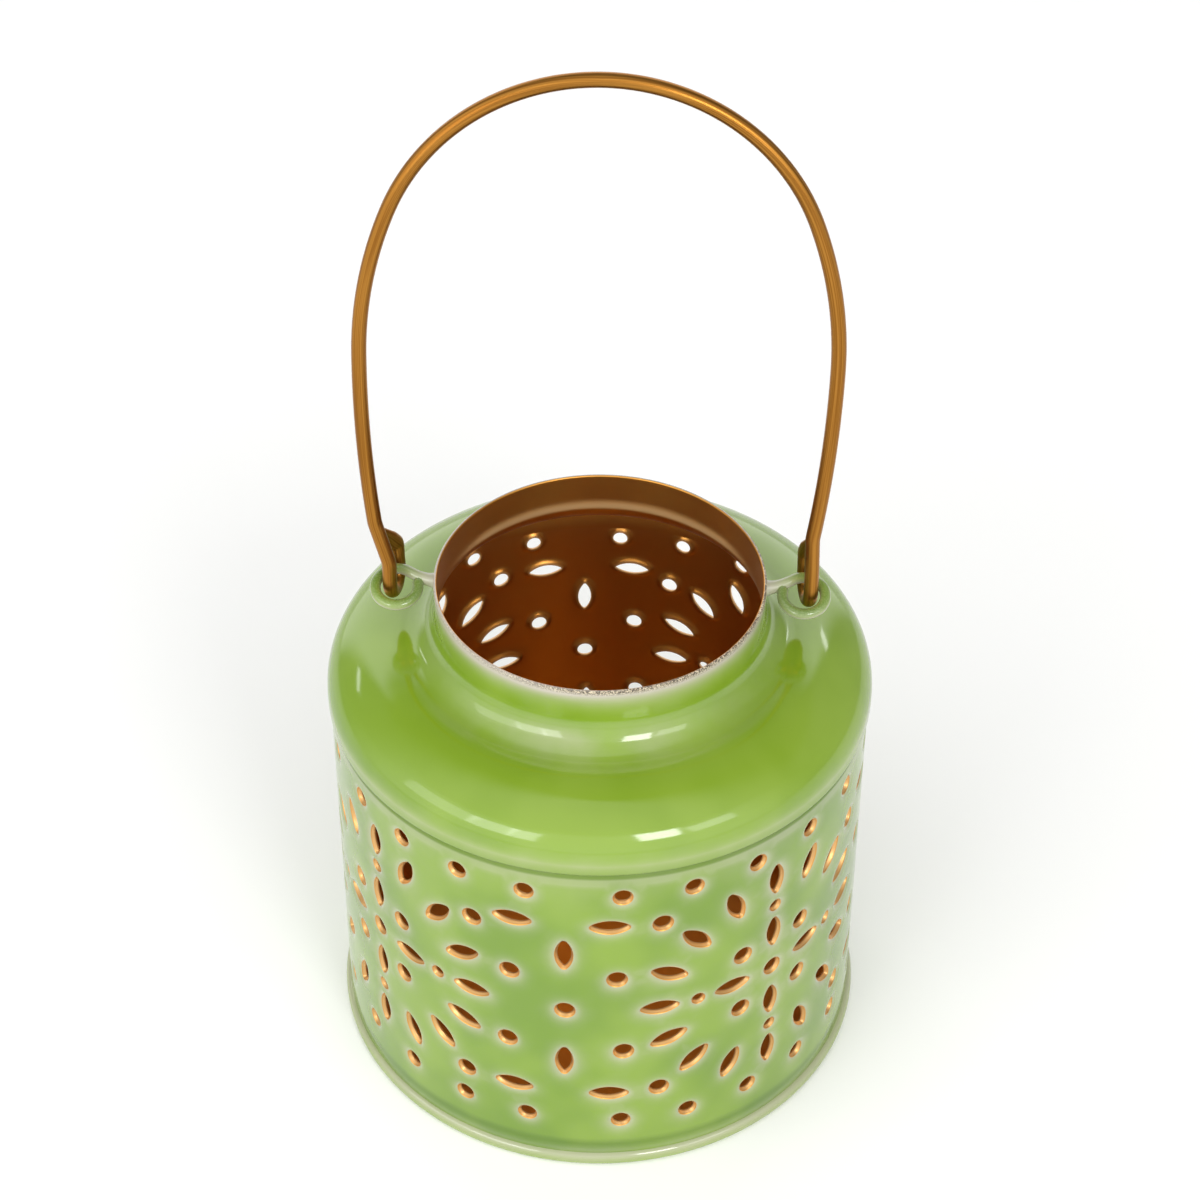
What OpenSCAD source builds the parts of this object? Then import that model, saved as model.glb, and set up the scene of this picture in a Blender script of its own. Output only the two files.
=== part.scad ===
// Enamelled steel lantern: a pierced drum on a base pan, a domed shoulder with an open neck, and a wire
// bail that swings in two wire ears. The origin is on the table under the middle of the drum, with the
// ears along X and the front towards -Y. Lengths are millimetres and angles are degrees.

/* [Drum] */
// Outer diameter of the pierced wall
body_d = 130.7; // [115:0.1:150]
// Height of the wall's top edge above the table
wall_top_h = 103; // [85:0.5:120]
// Thickness of the steel sheet with its enamel
sheet_t = 0.8; // [0.6:0.05:1.1]

/* [Base pan] */
// How far the rolled foot bead stands out beyond the wall
bead_out = 1.35; // [0.8:0.05:2]
// Height of the rolled foot bead
bead_h = 3.8; // [3:0.1:5]
// Width of the flat ring on which the bead rests
bead_flat_w = 1.4; // [0.8:0.1:2]
// Height of the pan's underside above the table
pan_rise = 1.4; // [1:0.1:2]

/* [Shoulder and neck] */
// Height of the shoulder's crown above the wall's top edge
shoulder_h = 16.7; // [13:0.1:22]
// How far the shoulder stands out beyond the wall
swell = 0.65; // [0.3:0.05:1.5]
// Height of the shoulder's widest line above the wall's top edge
swell_h = 3; // [2:0.1:4]
// Radius of the rounding under the shoulder's lip
lip_r = 1.1; // [0.6:0.1:1.4]
// Outer diameter of the neck
neck_d = 78.9; // [66:0.1:86]
// Height of the neck's rim above the shoulder's crown
neck_h = 16.3; // [12:0.1:20]
// Radius of the hollow curve between the shoulder and the neck
neck_fillet_r = 8; // [5:0.1:10]
// How deep the shoulder's skirt reaches into the wall
skirt_h = 4.4; // [3:0.1:8]
// Gap all round between the skirt and the wall
skirt_gap = 0.1; // [0.05:0.01:0.2]

/* [Ears] */
// Diameter of the ear wire with its enamel
ear_wire_d = 2.6; // [2.2:0.1:3]
// Diameter of the hole inside each ear
ear_eye_d = 7.6; // [7.4:0.1:9]
// Gap between the neck and the nearest point of each ear's ring
ear_gap = 2.5; // [1.5:0.1:4]
// Distance of the ear's centre below the neck's rim
ear_drop = 4; // [3:0.1:6]
// Angle by which the front of each ear hangs down
ear_droop = 17; // [0:1:25]

/* [Bail] */
// Diameter of the bail wire
bail_wire_d = 3.5; // [3:0.1:3.6]
// Greatest width of the bail, between wire centres
bail_w = 109; // [100:0.5:125]
// Height of the bail's top above its hinge line, measured along the bail
bail_h = 126.4; // [100:0.1:150]
// Width between the wire centres just above the hooks
bail_foot_w = 102.8; // [100:0.1:108]
// Height above the hinge line at which the legs turn into the hooks
bail_foot_h = 14; // [12.5:0.5:18]
// How far the feet of the bail have slid to the left in its ears
bail_slide = 1.9; // [0:0.1:2.2]
// Angle by which the bail leans to the right, as far as its slack hooks let it
bail_tilt = 1; // [0:0.1:1.2]
// Angle by which the bail leans back at rest
bail_lean = 10; // [0:1:15]
// Inner width of each hook, from front to back
hook_w = 4.6; // [4:0.1:4.8]
// Gap between the ear wire and the back of the hook
hook_gap = 0.45; // [0.35:0.05:0.6]
// How far the middle of each hook's bend hangs below the hinge line
hook_slack = 1.2; // [0:0.1:1.5]
// Distance of each hook's middle outside the middle of its ear
hook_out = 0.9; // [0.5:0.1:1]
// Angle by which each hook is turned towards the neck
hook_turn = 10; // [0:1:12]
// Height of the hook's tip above the hinge line
hook_tip_h = 12; // [10:0.5:12.5]
// Diameter of the hook's hammered tip
hook_tip_d = 1.5; // [1:0.1:2]

/* [Piercing] */
// Length of the pointed petal holes
petal_l = 9.6; // [7:0.1:10.5]
// Width of the pointed petal holes
petal_w = 4.2; // [3:0.1:5]
// Diameter of the round holes of the roses and the panels
round_d = 4.8; // [3:0.1:5.2]
// Diameter of the round holes in the rows along both edges
row_d = 4.5; // [3:0.1:5]
// Diameter of the small round holes
dot_d = 3.3; // [2:0.1:4]
// Number of pierced roses round the wall
rose_count = 4; // [2:1:4]
// Number of petals in the outer ring of a rose
ring_count = 16; // [8:4:16]
// Direction of the wall's seam, counted from the front towards the right
seam_turn = -90.5; // [-110:0.5:-80]

/* [Hidden] */
$fn = 96;
// Number of steps round the drum and round each hole
drum_fn = 180;
hole_fn = 32;
// Number of straight steps in each rounded stretch of the shoulder's outline
arc_steps = 14;
// How far each cut runs past what it cuts
overrun = 1;

// Drum and base pan
body_r = body_d / 2;
wall_in_r = body_r - sheet_t;
bead_r = (bead_h * bead_h + bead_flat_w * bead_flat_w / 4) / (2 * bead_h);
bead_c_r = body_r + bead_out - bead_r;
bead_c_z = bead_h - bead_r;
slot_z = sheet_t;

// Shoulder: the crown is a tight arc at the edge that runs into a wide one at the top
edge_arc_share = 0.766;
crown_arc_share = 1.9;
swell_r = body_r + swell;
swell_z = wall_top_h + swell_h;
crown_z = wall_top_h + shoulder_h;
crown_rise = crown_z - swell_z;
edge_arc_r = edge_arc_share * crown_rise;
crown_arc_r = crown_arc_share * crown_rise;
arc_turn = asin((crown_arc_r - crown_rise) / (crown_arc_r - edge_arc_r));
edge_c_r = swell_r - edge_arc_r;
crown_c_r = edge_c_r - (crown_arc_r - edge_arc_r) * cos(arc_turn);
crown_c_z = crown_z - crown_arc_r;
neck_r = neck_d / 2;
rim_z = crown_z + neck_h;
fillet_start_r = neck_r + neck_fillet_r;
crown_end_turn = fillet_start_r > crown_c_r ? acos((fillet_start_r - crown_c_r) / crown_arc_r) : 90;
fillet_start_z = crown_c_z + crown_arc_r * sin(crown_end_turn);
skirt_r = wall_in_r - skirt_gap;
seat_share = 0.45;
lip_end_r = wall_in_r + seat_share * sheet_t;
lip_turn = -70;

// Wires: a ball a little thicker than the wire joins each pair of stretches
joint_share = 1.02;

// Ears: each is one wire, a straight stub that runs on into a ring
ear_wire_r = ear_wire_d / 2;
ear_ring_r = ear_eye_d / 2 + ear_wire_r;
ear_x = neck_r + ear_gap + ear_wire_r + ear_ring_r;
ear_z = rim_z - ear_drop;
stub_turn = 122;
ring_open_turn = acos(1 - ear_wire_d / ear_ring_r);
stub_l = (ear_x + ear_ring_r * cos(stub_turn)) / sin(stub_turn);

// Hinge line of the bail, along X through the far wire of both ears
hinge_y = ear_ring_r * cos(ear_droop);
hinge_z = ear_z + ear_ring_r * sin(ear_droop);

// Bail: a three-centred arch on bowed legs, in one flat plane in front of the hinge line
hook_r = (hook_w + bail_wire_d) / 2;
hook_back_y = ear_wire_r + bail_wire_d / 2 + hook_gap;
hook_mid_y = hook_back_y - hook_r * cos(hook_turn);
bail_plane_y = hook_mid_y - hook_r * cos(hook_turn);
top_arc_share = 0.94;
wide_h_share = 0.46;
bail_half = bail_w / 2;
bail_wide_h = wide_h_share * bail_h;
top_arc_r = top_arc_share * bail_half;
top_c_h = bail_h - top_arc_r;
side_drop = top_c_h - bail_wide_h;
side_arc_r = (bail_half * bail_half + side_drop * side_drop - top_arc_r * top_arc_r)
    / (2 * (bail_half - top_arc_r));
side_c_x = bail_half - side_arc_r;
side_turn = atan2(side_drop, -side_c_x);
leg_bow = (bail_w - bail_foot_w) / 2;
leg_drop = bail_wide_h - bail_foot_h;
leg_arc_r = (leg_drop * leg_drop + leg_bow * leg_bow) / (2 * leg_bow);
leg_turn = asin(leg_drop / leg_arc_r);
hook_mid_x = ear_x + hook_out;
hook_x = hook_mid_x + hook_r * sin(hook_turn);
knee_share = 0.3;
bend_share = 0.42;
bend_pull_share = 0.12;

// Piercing: places are shares of the rose pitch along the wall and of the wall's height
rose_pitch_share = 0.265;
wall_round_l = 2 * PI * body_r;
rose_pitch = rose_pitch_share * wall_round_l;
rose_z_share = 0.541;
rose_z = rose_z_share * wall_top_h;
rose_size = min(rose_pitch, wall_top_h);
ring_w_share = 0.301;
ring_h_share = 0.291;
dot_ring_share = 0.205;
round_ring_share = 0.128;
cross_ring_share = 0.117;
// Panel between two roses: share along the pitch, share of the height, and the hole's own turn
panel_petal_shares = [
    [0.004, 0.729, 90], [0.002, 0.366, 90],
    [-0.112, 0.826, 0], [0.103, 0.826, 0], [-0.114, 0.252, 0], [0.103, 0.253, 0]
];
panel_round_shares = [
    [0.004, 0.543], [-0.119, 0.648], [0.12, 0.652], [-0.127, 0.411], [0.135, 0.402],
    [-0.207, 0.787], [0.218, 0.825], [-0.233, 0.249], [0.216, 0.257]
];
// Rows along both edges: shares of the pitch, counted from the middle of each rose
row_count = 6;
row_start_share = -0.369;
row_step_share = 0.157;
row_z_shares = [0.155, 0.923];
seam_margin_share = 0.03;

// Direction of a place on the wall that lies s along it from the direction turn
function wall_turn(turn, s) = turn + s / body_r * 180 / PI;

// Directions of the roses, spaced evenly from the middle of the strip, and of the panels between them
function rose_turn(i) =
    seam_turn + 360 * ((1 - (rose_count - 1) * rose_pitch_share) / 2 + i * rose_pitch_share);

function panel_turn(i) = (rose_turn(i) + rose_turn(i + 1)) / 2;

// Points of an arc, from turn a to turn b
function arc(c_r, c_z, r, a, b) =
    [for (i = [0:arc_steps]) let (t = a + (b - a) * i / arc_steps) [c_r + r * cos(t), c_z + r * sin(t)]];

// Shoulder's skin, from the widest line up to the rim, drawn in by t from the outside
function skin(t) = concat(
    arc(edge_c_r, swell_z, edge_arc_r - t, 0, arc_turn),
    arc(crown_c_r, crown_c_z, crown_arc_r - t, arc_turn, crown_end_turn),
    arc(fillet_start_r, fillet_start_z + neck_fillet_r, neck_fillet_r + t, 270, 180),
    [[neck_r - t, rim_z]]
);

function backwards(list) = [for (i = [len(list) - 1:-1:0]) list[i]];

// Places a cutter's own Z along the wall's outward normal, with its X lying along the wall
module on_wall(turn, z) {
    rotate([0, 0, turn - 90])
        translate([wall_in_r - overrun, 0, z])
            rotate([90, 0, 90])
                children();
}

module round_cut(turn, z, d) {
    on_wall(turn, z)
        cylinder(h = sheet_t + 2 * overrun, d = d, $fn = hole_fn);
}

// Pointed petal: the overlap of two equal discs
module petal_cut(turn, z, own_turn) {
    disc_r = (petal_l * petal_l + petal_w * petal_w) / (4 * petal_w);
    on_wall(turn, z)
        rotate([0, 0, own_turn])
            linear_extrude(height = sheet_t + 2 * overrun)
                intersection() {
                    translate([0, disc_r - petal_w / 2]) circle(r = disc_r);
                    translate([0, petal_w / 2 - disc_r]) circle(r = disc_r);
                }
}

module rose_cuts(turn) {
    round_cut(turn, rose_z, round_d);
    for (k = [0:ring_count - 1]) {
        a = 360 * k / ring_count;
        petal_s = ring_w_share * rose_size * cos(a);
        petal_z = rose_z + ring_h_share * rose_size * sin(a);
        petal_cut(wall_turn(turn, petal_s), petal_z, a);
    }
    for (a = [0:90:270]) {
        r = cross_ring_share * rose_size;
        petal_cut(wall_turn(turn, r * cos(a)), rose_z + r * sin(a), a);
    }
    for (a = [45:90:315]) {
        r = round_ring_share * rose_size;
        round_cut(wall_turn(turn, r * cos(a)), rose_z + r * sin(a), round_d);
    }
    for (a = [0:90:270]) {
        r = dot_ring_share * rose_size;
        round_cut(wall_turn(turn, r * cos(a)), rose_z + r * sin(a), dot_d);
    }
}

module panel_cuts(turn) {
    for (p = panel_petal_shares)
        petal_cut(wall_turn(turn, p[0] * rose_pitch), p[1] * wall_top_h, p[2]);
    for (p = panel_round_shares)
        round_cut(wall_turn(turn, p[0] * rose_pitch), p[1] * wall_top_h, round_d);
}

// Both rows of round holes above and below one rose, kept clear of the seam
module row_cuts(turn) {
    first = seam_turn + 360 * seam_margin_share;
    last = seam_turn + 360 * (1 - seam_margin_share);
    for (k = [0:row_count - 1]) {
        hole_turn = wall_turn(turn, (row_start_share + k * row_step_share) * rose_pitch);
        if (hole_turn > first && hole_turn < last)
            for (z_share = row_z_shares)
                round_cut(hole_turn, z_share * wall_top_h, row_d);
    }
}

// Drum wall: one punched strip rolled into a tube, standing in the base pan's channel
module pierced_wall() {
    color("#9fbb55")
        difference() {
            translate([0, 0, slot_z])
                cylinder(h = wall_top_h - slot_z, r = body_r, $fn = drum_fn);
            translate([0, 0, slot_z - overrun])
                cylinder(h = wall_top_h - slot_z + 2 * overrun, r = wall_in_r, $fn = drum_fn);
            for (i = [0:rose_count - 1]) {
                rose_cuts(rose_turn(i));
                row_cuts(rose_turn(i));
            }
            for (i = [0:rose_count - 2])
                panel_cuts(panel_turn(i));
        }
}

// Base pan: a raised floor inside a rolled bead, with a channel that holds the wall's foot
module base_pan() {
    color("#84a92b")
        rotate_extrude($fn = drum_fn)
            difference() {
                union() {
                    intersection() {
                        translate([bead_c_r, bead_c_z]) circle(r = bead_r);
                        translate([bead_c_r - bead_r, 0]) square([2 * bead_r, bead_h]);
                    }
                    translate([0, pan_rise]) square([wall_in_r - bead_r + bead_out, sheet_t]);
                }
                translate([wall_in_r, slot_z]) square([sheet_t, bead_h]);
            }
}

// Shoulder: a spun cap with the neck drawn up from it and a skirt that drops into the wall
module domed_shoulder() {
    color("#9fbb55")
        rotate_extrude($fn = drum_fn)
            polygon(concat(
                [[lip_end_r, wall_top_h]],
                arc(swell_r - lip_r, wall_top_h + lip_r, lip_r, lip_turn, 0),
                skin(0),
                backwards(skin(sheet_t)),
                [
                    [skirt_r - sheet_t, wall_top_h],
                    [skirt_r - sheet_t, wall_top_h - skirt_h],
                    [skirt_r, wall_top_h - skirt_h],
                    [skirt_r, wall_top_h]
                ]
            ));
}

// One ear in its own plane, with its centre at the origin and the neck towards -X
module ear_wire() {
    rotate([0, 0, stub_turn + ring_open_turn])
        rotate_extrude(angle = 360 - ring_open_turn)
            translate([ear_ring_r, 0]) circle(d = ear_wire_d);
    translate([ear_ring_r * cos(stub_turn), ear_ring_r * sin(stub_turn), 0])
        rotate([0, -90, stub_turn - 90]) {
            cylinder(h = stub_l, d = ear_wire_d);
            sphere(d = joint_share * ear_wire_d);
        }
}

// Ear on the right of the neck, its stub ending flush on the neck
module placed_ear() {
    color("#c8cfae")
        difference() {
            translate([ear_x, 0, ear_z])
                rotate([ear_droop, 0, 0])
                    ear_wire();
            translate([0, 0, crown_z - overrun])
                cylinder(h = 2 * neck_h, r = neck_r, $fn = drum_fn);
        }
}

module ear_right() placed_ear();

module ear_left() mirror([1, 0, 0]) placed_ear();

// Straight wire from p to q, which may taper
module rod(p, q, d1, d2) {
    v = q - p;
    translate(p)
        rotate([0, acos(v[2] / norm(v)), atan2(v[1], v[0])])
            cylinder(h = norm(v), d1 = d1, d2 = d2);
}

// Curved wire in the bail's flat plane: x across, z up, from turn a over the given sweep
module bend(c_x, c_h, r, a, sweep) {
    translate([c_x, 0, c_h])
        rotate([90, 0, 0])
            rotate([0, 0, a])
                rotate_extrude(angle = sweep)
                    translate([r, 0]) circle(d = bail_wire_d);
}

module joint(p) {
    translate(p) sphere(d = joint_share * bail_wire_d);
}

// Foot of the arch: side is 1 on the right and -1 on the left
function foot_place(side) = [
    side * bail_foot_w / 2 * cos(bail_tilt) + bail_foot_h * sin(bail_tilt) - bail_slide,
    bail_plane_y,
    bail_foot_h * cos(bail_tilt) - side * bail_foot_w / 2 * sin(bail_tilt)
];

// Foot and hook on one side
module hook(side) {
    foot = foot_place(side);
    knee = [side * hook_x, bail_plane_y, knee_share * bail_foot_h];
    hook_top = [side * hook_x, bail_plane_y, -hook_slack];
    back_x = side * (hook_mid_x - hook_r * sin(hook_turn));
    back = [back_x, hook_back_y, -hook_slack];
    tip_share = (hook_tip_h - knee[2]) / (foot[2] - knee[2]);
    tip = knee + tip_share * (foot - knee) + [0, (bail_wire_d + hook_tip_d / 2) / 2, 0];
    bend_h = bend_share * hook_tip_h;
    bent = [back_x + bend_pull_share * (tip[0] - back_x), hook_back_y, bend_h];
    rod(knee, foot, bail_wire_d, bail_wire_d);
    rod(hook_top, knee, bail_wire_d, bail_wire_d);
    rod(back, bent, bail_wire_d, bail_wire_d);
    rod(bent, tip, bail_wire_d, hook_tip_d);
    for (p = [foot, knee, hook_top, back, bent])
        joint(p);
    translate(tip) sphere(d = joint_share * hook_tip_d);
    translate([side * hook_mid_x, hook_mid_y, -hook_slack])
        rotate([0, 0, side * hook_turn])
            rotate([-90, 0, 90])
                rotate_extrude(angle = 180)
                    translate([hook_r, 0]) circle(d = bail_wire_d);
}

// The bail without its hooks, upright over the middle of its feet
module arch() {
    bend(0, top_c_h, top_arc_r, side_turn, 180 - 2 * side_turn);
    bend(side_c_x, bail_wide_h, side_arc_r, 0, side_turn);
    bend(-side_c_x, bail_wide_h, side_arc_r, 180 - side_turn, side_turn);
    bend(bail_half - leg_arc_r, bail_wide_h, leg_arc_r, -leg_turn, leg_turn);
    bend(leg_arc_r - bail_half, bail_wide_h, leg_arc_r, 180, leg_turn);
    for (side = [-1, 1]) {
        joint([side * bail_half, 0, bail_wide_h]);
        joint([side * top_arc_r * cos(side_turn), 0, top_c_h + top_arc_r * sin(side_turn)]);
    }
}

// Bail: one wire, leaning back a little, hooked through both ears
module bail_handle() {
    color("#a9721f")
        translate([0, hinge_y, hinge_z])
            rotate([-bail_lean, 0, 0]) {
                translate([-bail_slide, bail_plane_y, 0])
                    rotate([0, bail_tilt, 0])
                        arch();
                hook(1);
                hook(-1);
            }
}

pierced_wall();
base_pan();
domed_shoulder();
ear_left();
ear_right();
bail_handle();
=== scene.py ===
"""Looks for a pierced, enamelled steel lantern with a gold-painted inside and a gold wire bail.

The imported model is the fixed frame. Each of its six pieces gets a surface with the detail of the real one:
the wall has dished punch holes with burrs, the shoulder is spun with a worn rim, the foot is a rolled bead,
the ears are enamelled wire and the bail is painted wire with hammered hook tips. Sizes are millimetres and
turns are degrees until a surface becomes a mesh, in metres.
"""

import logging
import math
from dataclasses import dataclass, field
from enum import Enum, IntEnum
from functools import partial

import bpy
import numpy as np
from mathutils import Matrix, Vector
from mathutils.geometry import delaunay_2d_cdt


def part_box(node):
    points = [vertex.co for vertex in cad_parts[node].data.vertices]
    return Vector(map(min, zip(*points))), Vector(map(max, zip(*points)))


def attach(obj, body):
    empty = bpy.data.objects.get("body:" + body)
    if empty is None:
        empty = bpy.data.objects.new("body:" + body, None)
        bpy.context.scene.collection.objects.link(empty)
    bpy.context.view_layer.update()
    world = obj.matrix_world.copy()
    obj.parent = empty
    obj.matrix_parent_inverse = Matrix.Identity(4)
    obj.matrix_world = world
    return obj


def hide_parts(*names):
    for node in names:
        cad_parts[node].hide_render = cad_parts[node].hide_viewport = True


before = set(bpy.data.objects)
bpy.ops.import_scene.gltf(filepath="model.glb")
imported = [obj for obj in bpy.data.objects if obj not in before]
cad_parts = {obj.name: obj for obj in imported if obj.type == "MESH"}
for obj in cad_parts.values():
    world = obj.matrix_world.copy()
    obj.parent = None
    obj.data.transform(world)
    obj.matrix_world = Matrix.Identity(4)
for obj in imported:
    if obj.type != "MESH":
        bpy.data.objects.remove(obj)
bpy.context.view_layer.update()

MM = 0.001
SEED = 7
TINY = 1e-9
SLIVER = 1e-6
SHARP_TURN = 50.0
PHOTO_PIXELS = 1200
WIRE_UV = "along_wire"

# A range of values is mapped onto another, with eased ends, or onto nought to one if there is no other.
EASED = {"interpolation_type": "SMOOTHSTEP"}
SPAN = ("From Min", "From Max", "To Min", "To Max")

# A noise is one over its blotches' real size in metres, the number of finer layers and their strength.
NOISE = ("Scale", "Detail", "Roughness")

# A hole's outline has 24 points, or a multiple, and goes round a tip, an arc, the other tip and the other
# arc. These are where each starts and the last one ends. Half a tip's share of a round hole is 22.5 degrees.
OUTLINE_PARTS = (0, 3, 12, 15, 24)
ROUND_LEAN = 22.5

Socket = bpy.types.NodeSocket

log = logging.getLogger("lantern")


class Body(Enum):
    """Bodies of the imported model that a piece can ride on."""

    LANTERN = "lantern"
    BAIL = "bail"


class Slot(Enum):
    """Material slots of the record."""

    ENAMEL = "green_enamel"
    WIRE = "gold_painted_wire"


class Side(Enum):
    """The two sides of the lantern, as signs of X."""

    LEFT = -1
    RIGHT = 1


class Coat(IntEnum):
    """The two coats on a sheet piece, as the numbers of its materials."""

    ENAMEL = 0
    PAINT = 1


class Mark(Enum):
    """Values that each point may carry for its finish; one that is left out reads as nought."""

    EDGE = "edge_mm"
    POOL = "pool"
    # Milky glass on the enamel and a paler tone on the gold paint; in places partly painted highlight and
    # reflection.
    HAZE = "haze"
    # Painted shade in creases.
    SHADE = "shade"
    GRAIN = "grain"


Marks = dict[Mark, np.ndarray]


def to_linear(hex_code: str) -> tuple[float, float, float, float]:
    """Turns an sRGB hex colour into the linear colour that a shader takes.

    Args:
        hex_code: the colour, such as #9fbb55.

    Returns:
        Red, green, blue and an alpha of one.
    """
    shares = (int(hex_code[i : i + 2], 16) / 255 for i in (1, 3, 5))
    red, green, blue = (s / 12.92 if s <= 0.04045 else ((s + 0.055) / 1.055) ** 2.4 for s in shares)
    return red, green, blue, 1.0


def add_node(tree: bpy.types.NodeTree, kind: str, values: dict, output: str = "") -> Socket | None:
    """Adds one node with its settings and its links.

    Args:
        tree: the node tree.
        kind: the node's type, without the ShaderNode that it starts with.
        values: a setting, a hex colour or the socket that feeds it, for each property or input socket.
        output: the name of the output that is wanted.

    Returns:
        That output, if one is wanted.
    """
    node = tree.nodes.new(f"ShaderNode{kind}")
    for name, value in values.items():
        if isinstance(value, Socket):
            tree.links.new(value, node.inputs[name])
            continue
        if isinstance(value, str) and value.startswith("#"):
            value = to_linear(value)
        if isinstance(name, int) or name in node.inputs:
            node.inputs[name].default_value = value
        else:
            setattr(node, name, value)
    return node.outputs[output] if output else None


def emptied(owner: bpy.types.Material | bpy.types.World) -> partial:
    """Empties a material's or a world's node tree.

    Args:
        owner: the material or the world.

    Returns:
        The function that adds nodes to it.
    """
    owner.use_nodes = True
    owner.node_tree.nodes.clear()
    return partial(add_node, owner.node_tree)


@dataclass(frozen=True)
class VitreousEnamel:
    """Translucent green glass enamel, fired on steel over a pale ground.

    The eye sees a wet gloss over a green that is deep where the glass has pooled and milky where it ran
    thin over a lip or a hole's edge. Cloudy patches a few centimetres wide come from uneven firing. Near
    the rim and on the ears the glass is worn to a dark and cream grain. The shade mark paints shade into
    the creases under the shoulder's lip and above the foot bead, as a dark green with a duller gloss, and
    at the front of the neck's fillet the haze mark paints a pale reflection.
    """

    deep: str = "#76951a"
    mid: str = "#7f9c2a"
    milk: str = "#bab2a6"
    pooled: str = "#5c7f12"
    # Painted shade for the creases, mixed in by the shade mark.
    crease_shade: str = "#4f6a1a"
    worn_dark: str = "#3f2f1e"
    worn_pale: str = "#d2c4a6"
    ior: float = 1.66
    patches: tuple = (1 / (26.0 * MM), 2.0, 0.5)
    wisps: tuple = (1 / (20.0 * MM), 3.0, 0.55)
    grit: tuple = (1 / (0.35 * MM), 2.0, 0.7)
    peel: tuple = (1 / (8.0 * MM), 1.0, 0.4)
    peel_depth_mm: float = 0.03
    fade_mm: float = 1.3
    fade_top: float = 0.7
    mid_span: tuple = (0.34, 0.66)
    pool_span: tuple = (0.34, 0.66, 1.5, 0.5)
    reach_span: tuple = (0.3, 0.7, 1.3, 0.8)
    haze_span: tuple = (0.3, 0.7, 0.2, 1.8)
    speck_span: tuple = (0.46, 0.6)
    # The gloss falls where the shade mark paints shade.
    shaded_gloss_span: tuple = (0.0, 1.0, 0.5, 0.12)
    roughness_span: tuple = (0.0, 1.0, 0.09, 0.5)

    def material(self) -> bpy.types.Material:
        """Builds the node material.

        The milk's share falls as the exponential of the distance from the nearest thin edge, which wisps
        of noise stretch and shrink.

        Returns:
            The enamel.
        """
        material = bpy.data.materials.new("green_vitreous_enamel")
        add = emptied(material)
        place = add("TexCoord", {}, "Object")
        edge, pool, haze, shade, grain = (
            add("Attribute", {"attribute_name": mark.value}, "Fac") for mark in Mark
        )
        patches, wisps, grit, peel = (
            add("TexNoise", dict(zip(NOISE, noise)) | {"Vector": place}, "Fac")
            for noise in (self.patches, self.wisps, self.grit, self.peel)
        )
        spans = (
            (patches, self.mid_span), (patches, self.pool_span), (wisps, self.reach_span),
            (wisps, self.haze_span), (grit, self.speck_span), (shade, self.shaded_gloss_span),
            (grain, self.roughness_span),
        )
        to_mid, pooling, stretch, misting, speck, gloss, roughness = (
            add("MapRange", EASED | dict(zip(SPAN, span)) | {"Value": value}, "Result")
            for value, span in spans
        )
        pool, reach, haze = (
            add("Math", {"operation": "MULTIPLY", 0: mark, 1: share}, "Value")
            for mark, share in ((pool, pooling), (edge, stretch), (haze, misting))
        )
        fall = add("Math", {"operation": "MULTIPLY", 0: reach, 1: -1 / self.fade_mm}, "Value")
        fall = add("Math", {"operation": "EXPONENT", 0: fall}, "Value")
        thin = add("Math", {"operation": "MULTIPLY", 0: fall, 1: self.fade_top}, "Value")
        milky = add("Math", {"operation": "MAXIMUM", 0: thin, 1: haze}, "Value")
        body = add("MixRGB", {"Fac": to_mid, "Color1": self.deep, "Color2": self.mid}, "Color")
        worn = add("MixRGB", {"Fac": speck, "Color1": self.worn_dark, "Color2": self.worn_pale}, "Color")
        # The crease shade mixed in here is painted shade; the milk is partly painted reflection where the
        # haze mark carries it.
        for share, color in ((pool, self.pooled), (milky, self.milk), (shade, self.crease_shade), (grain, worn)):
            body = add("MixRGB", {"Fac": share, "Color1": body, "Color2": color}, "Color")
        bump = {"Strength": 1.0, "Distance": self.peel_depth_mm * MM, "Height": peel}
        finish = {
            "Base Color": body,
            "IOR": self.ior,
            "Specular IOR Level": gloss,
            "Roughness": roughness,
            "Normal": add("Bump", bump, "Normal"),
        }
        add("OutputMaterial", {"Surface": add("BsdfPrincipled", finish, "BSDF")})
        return material


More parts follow.
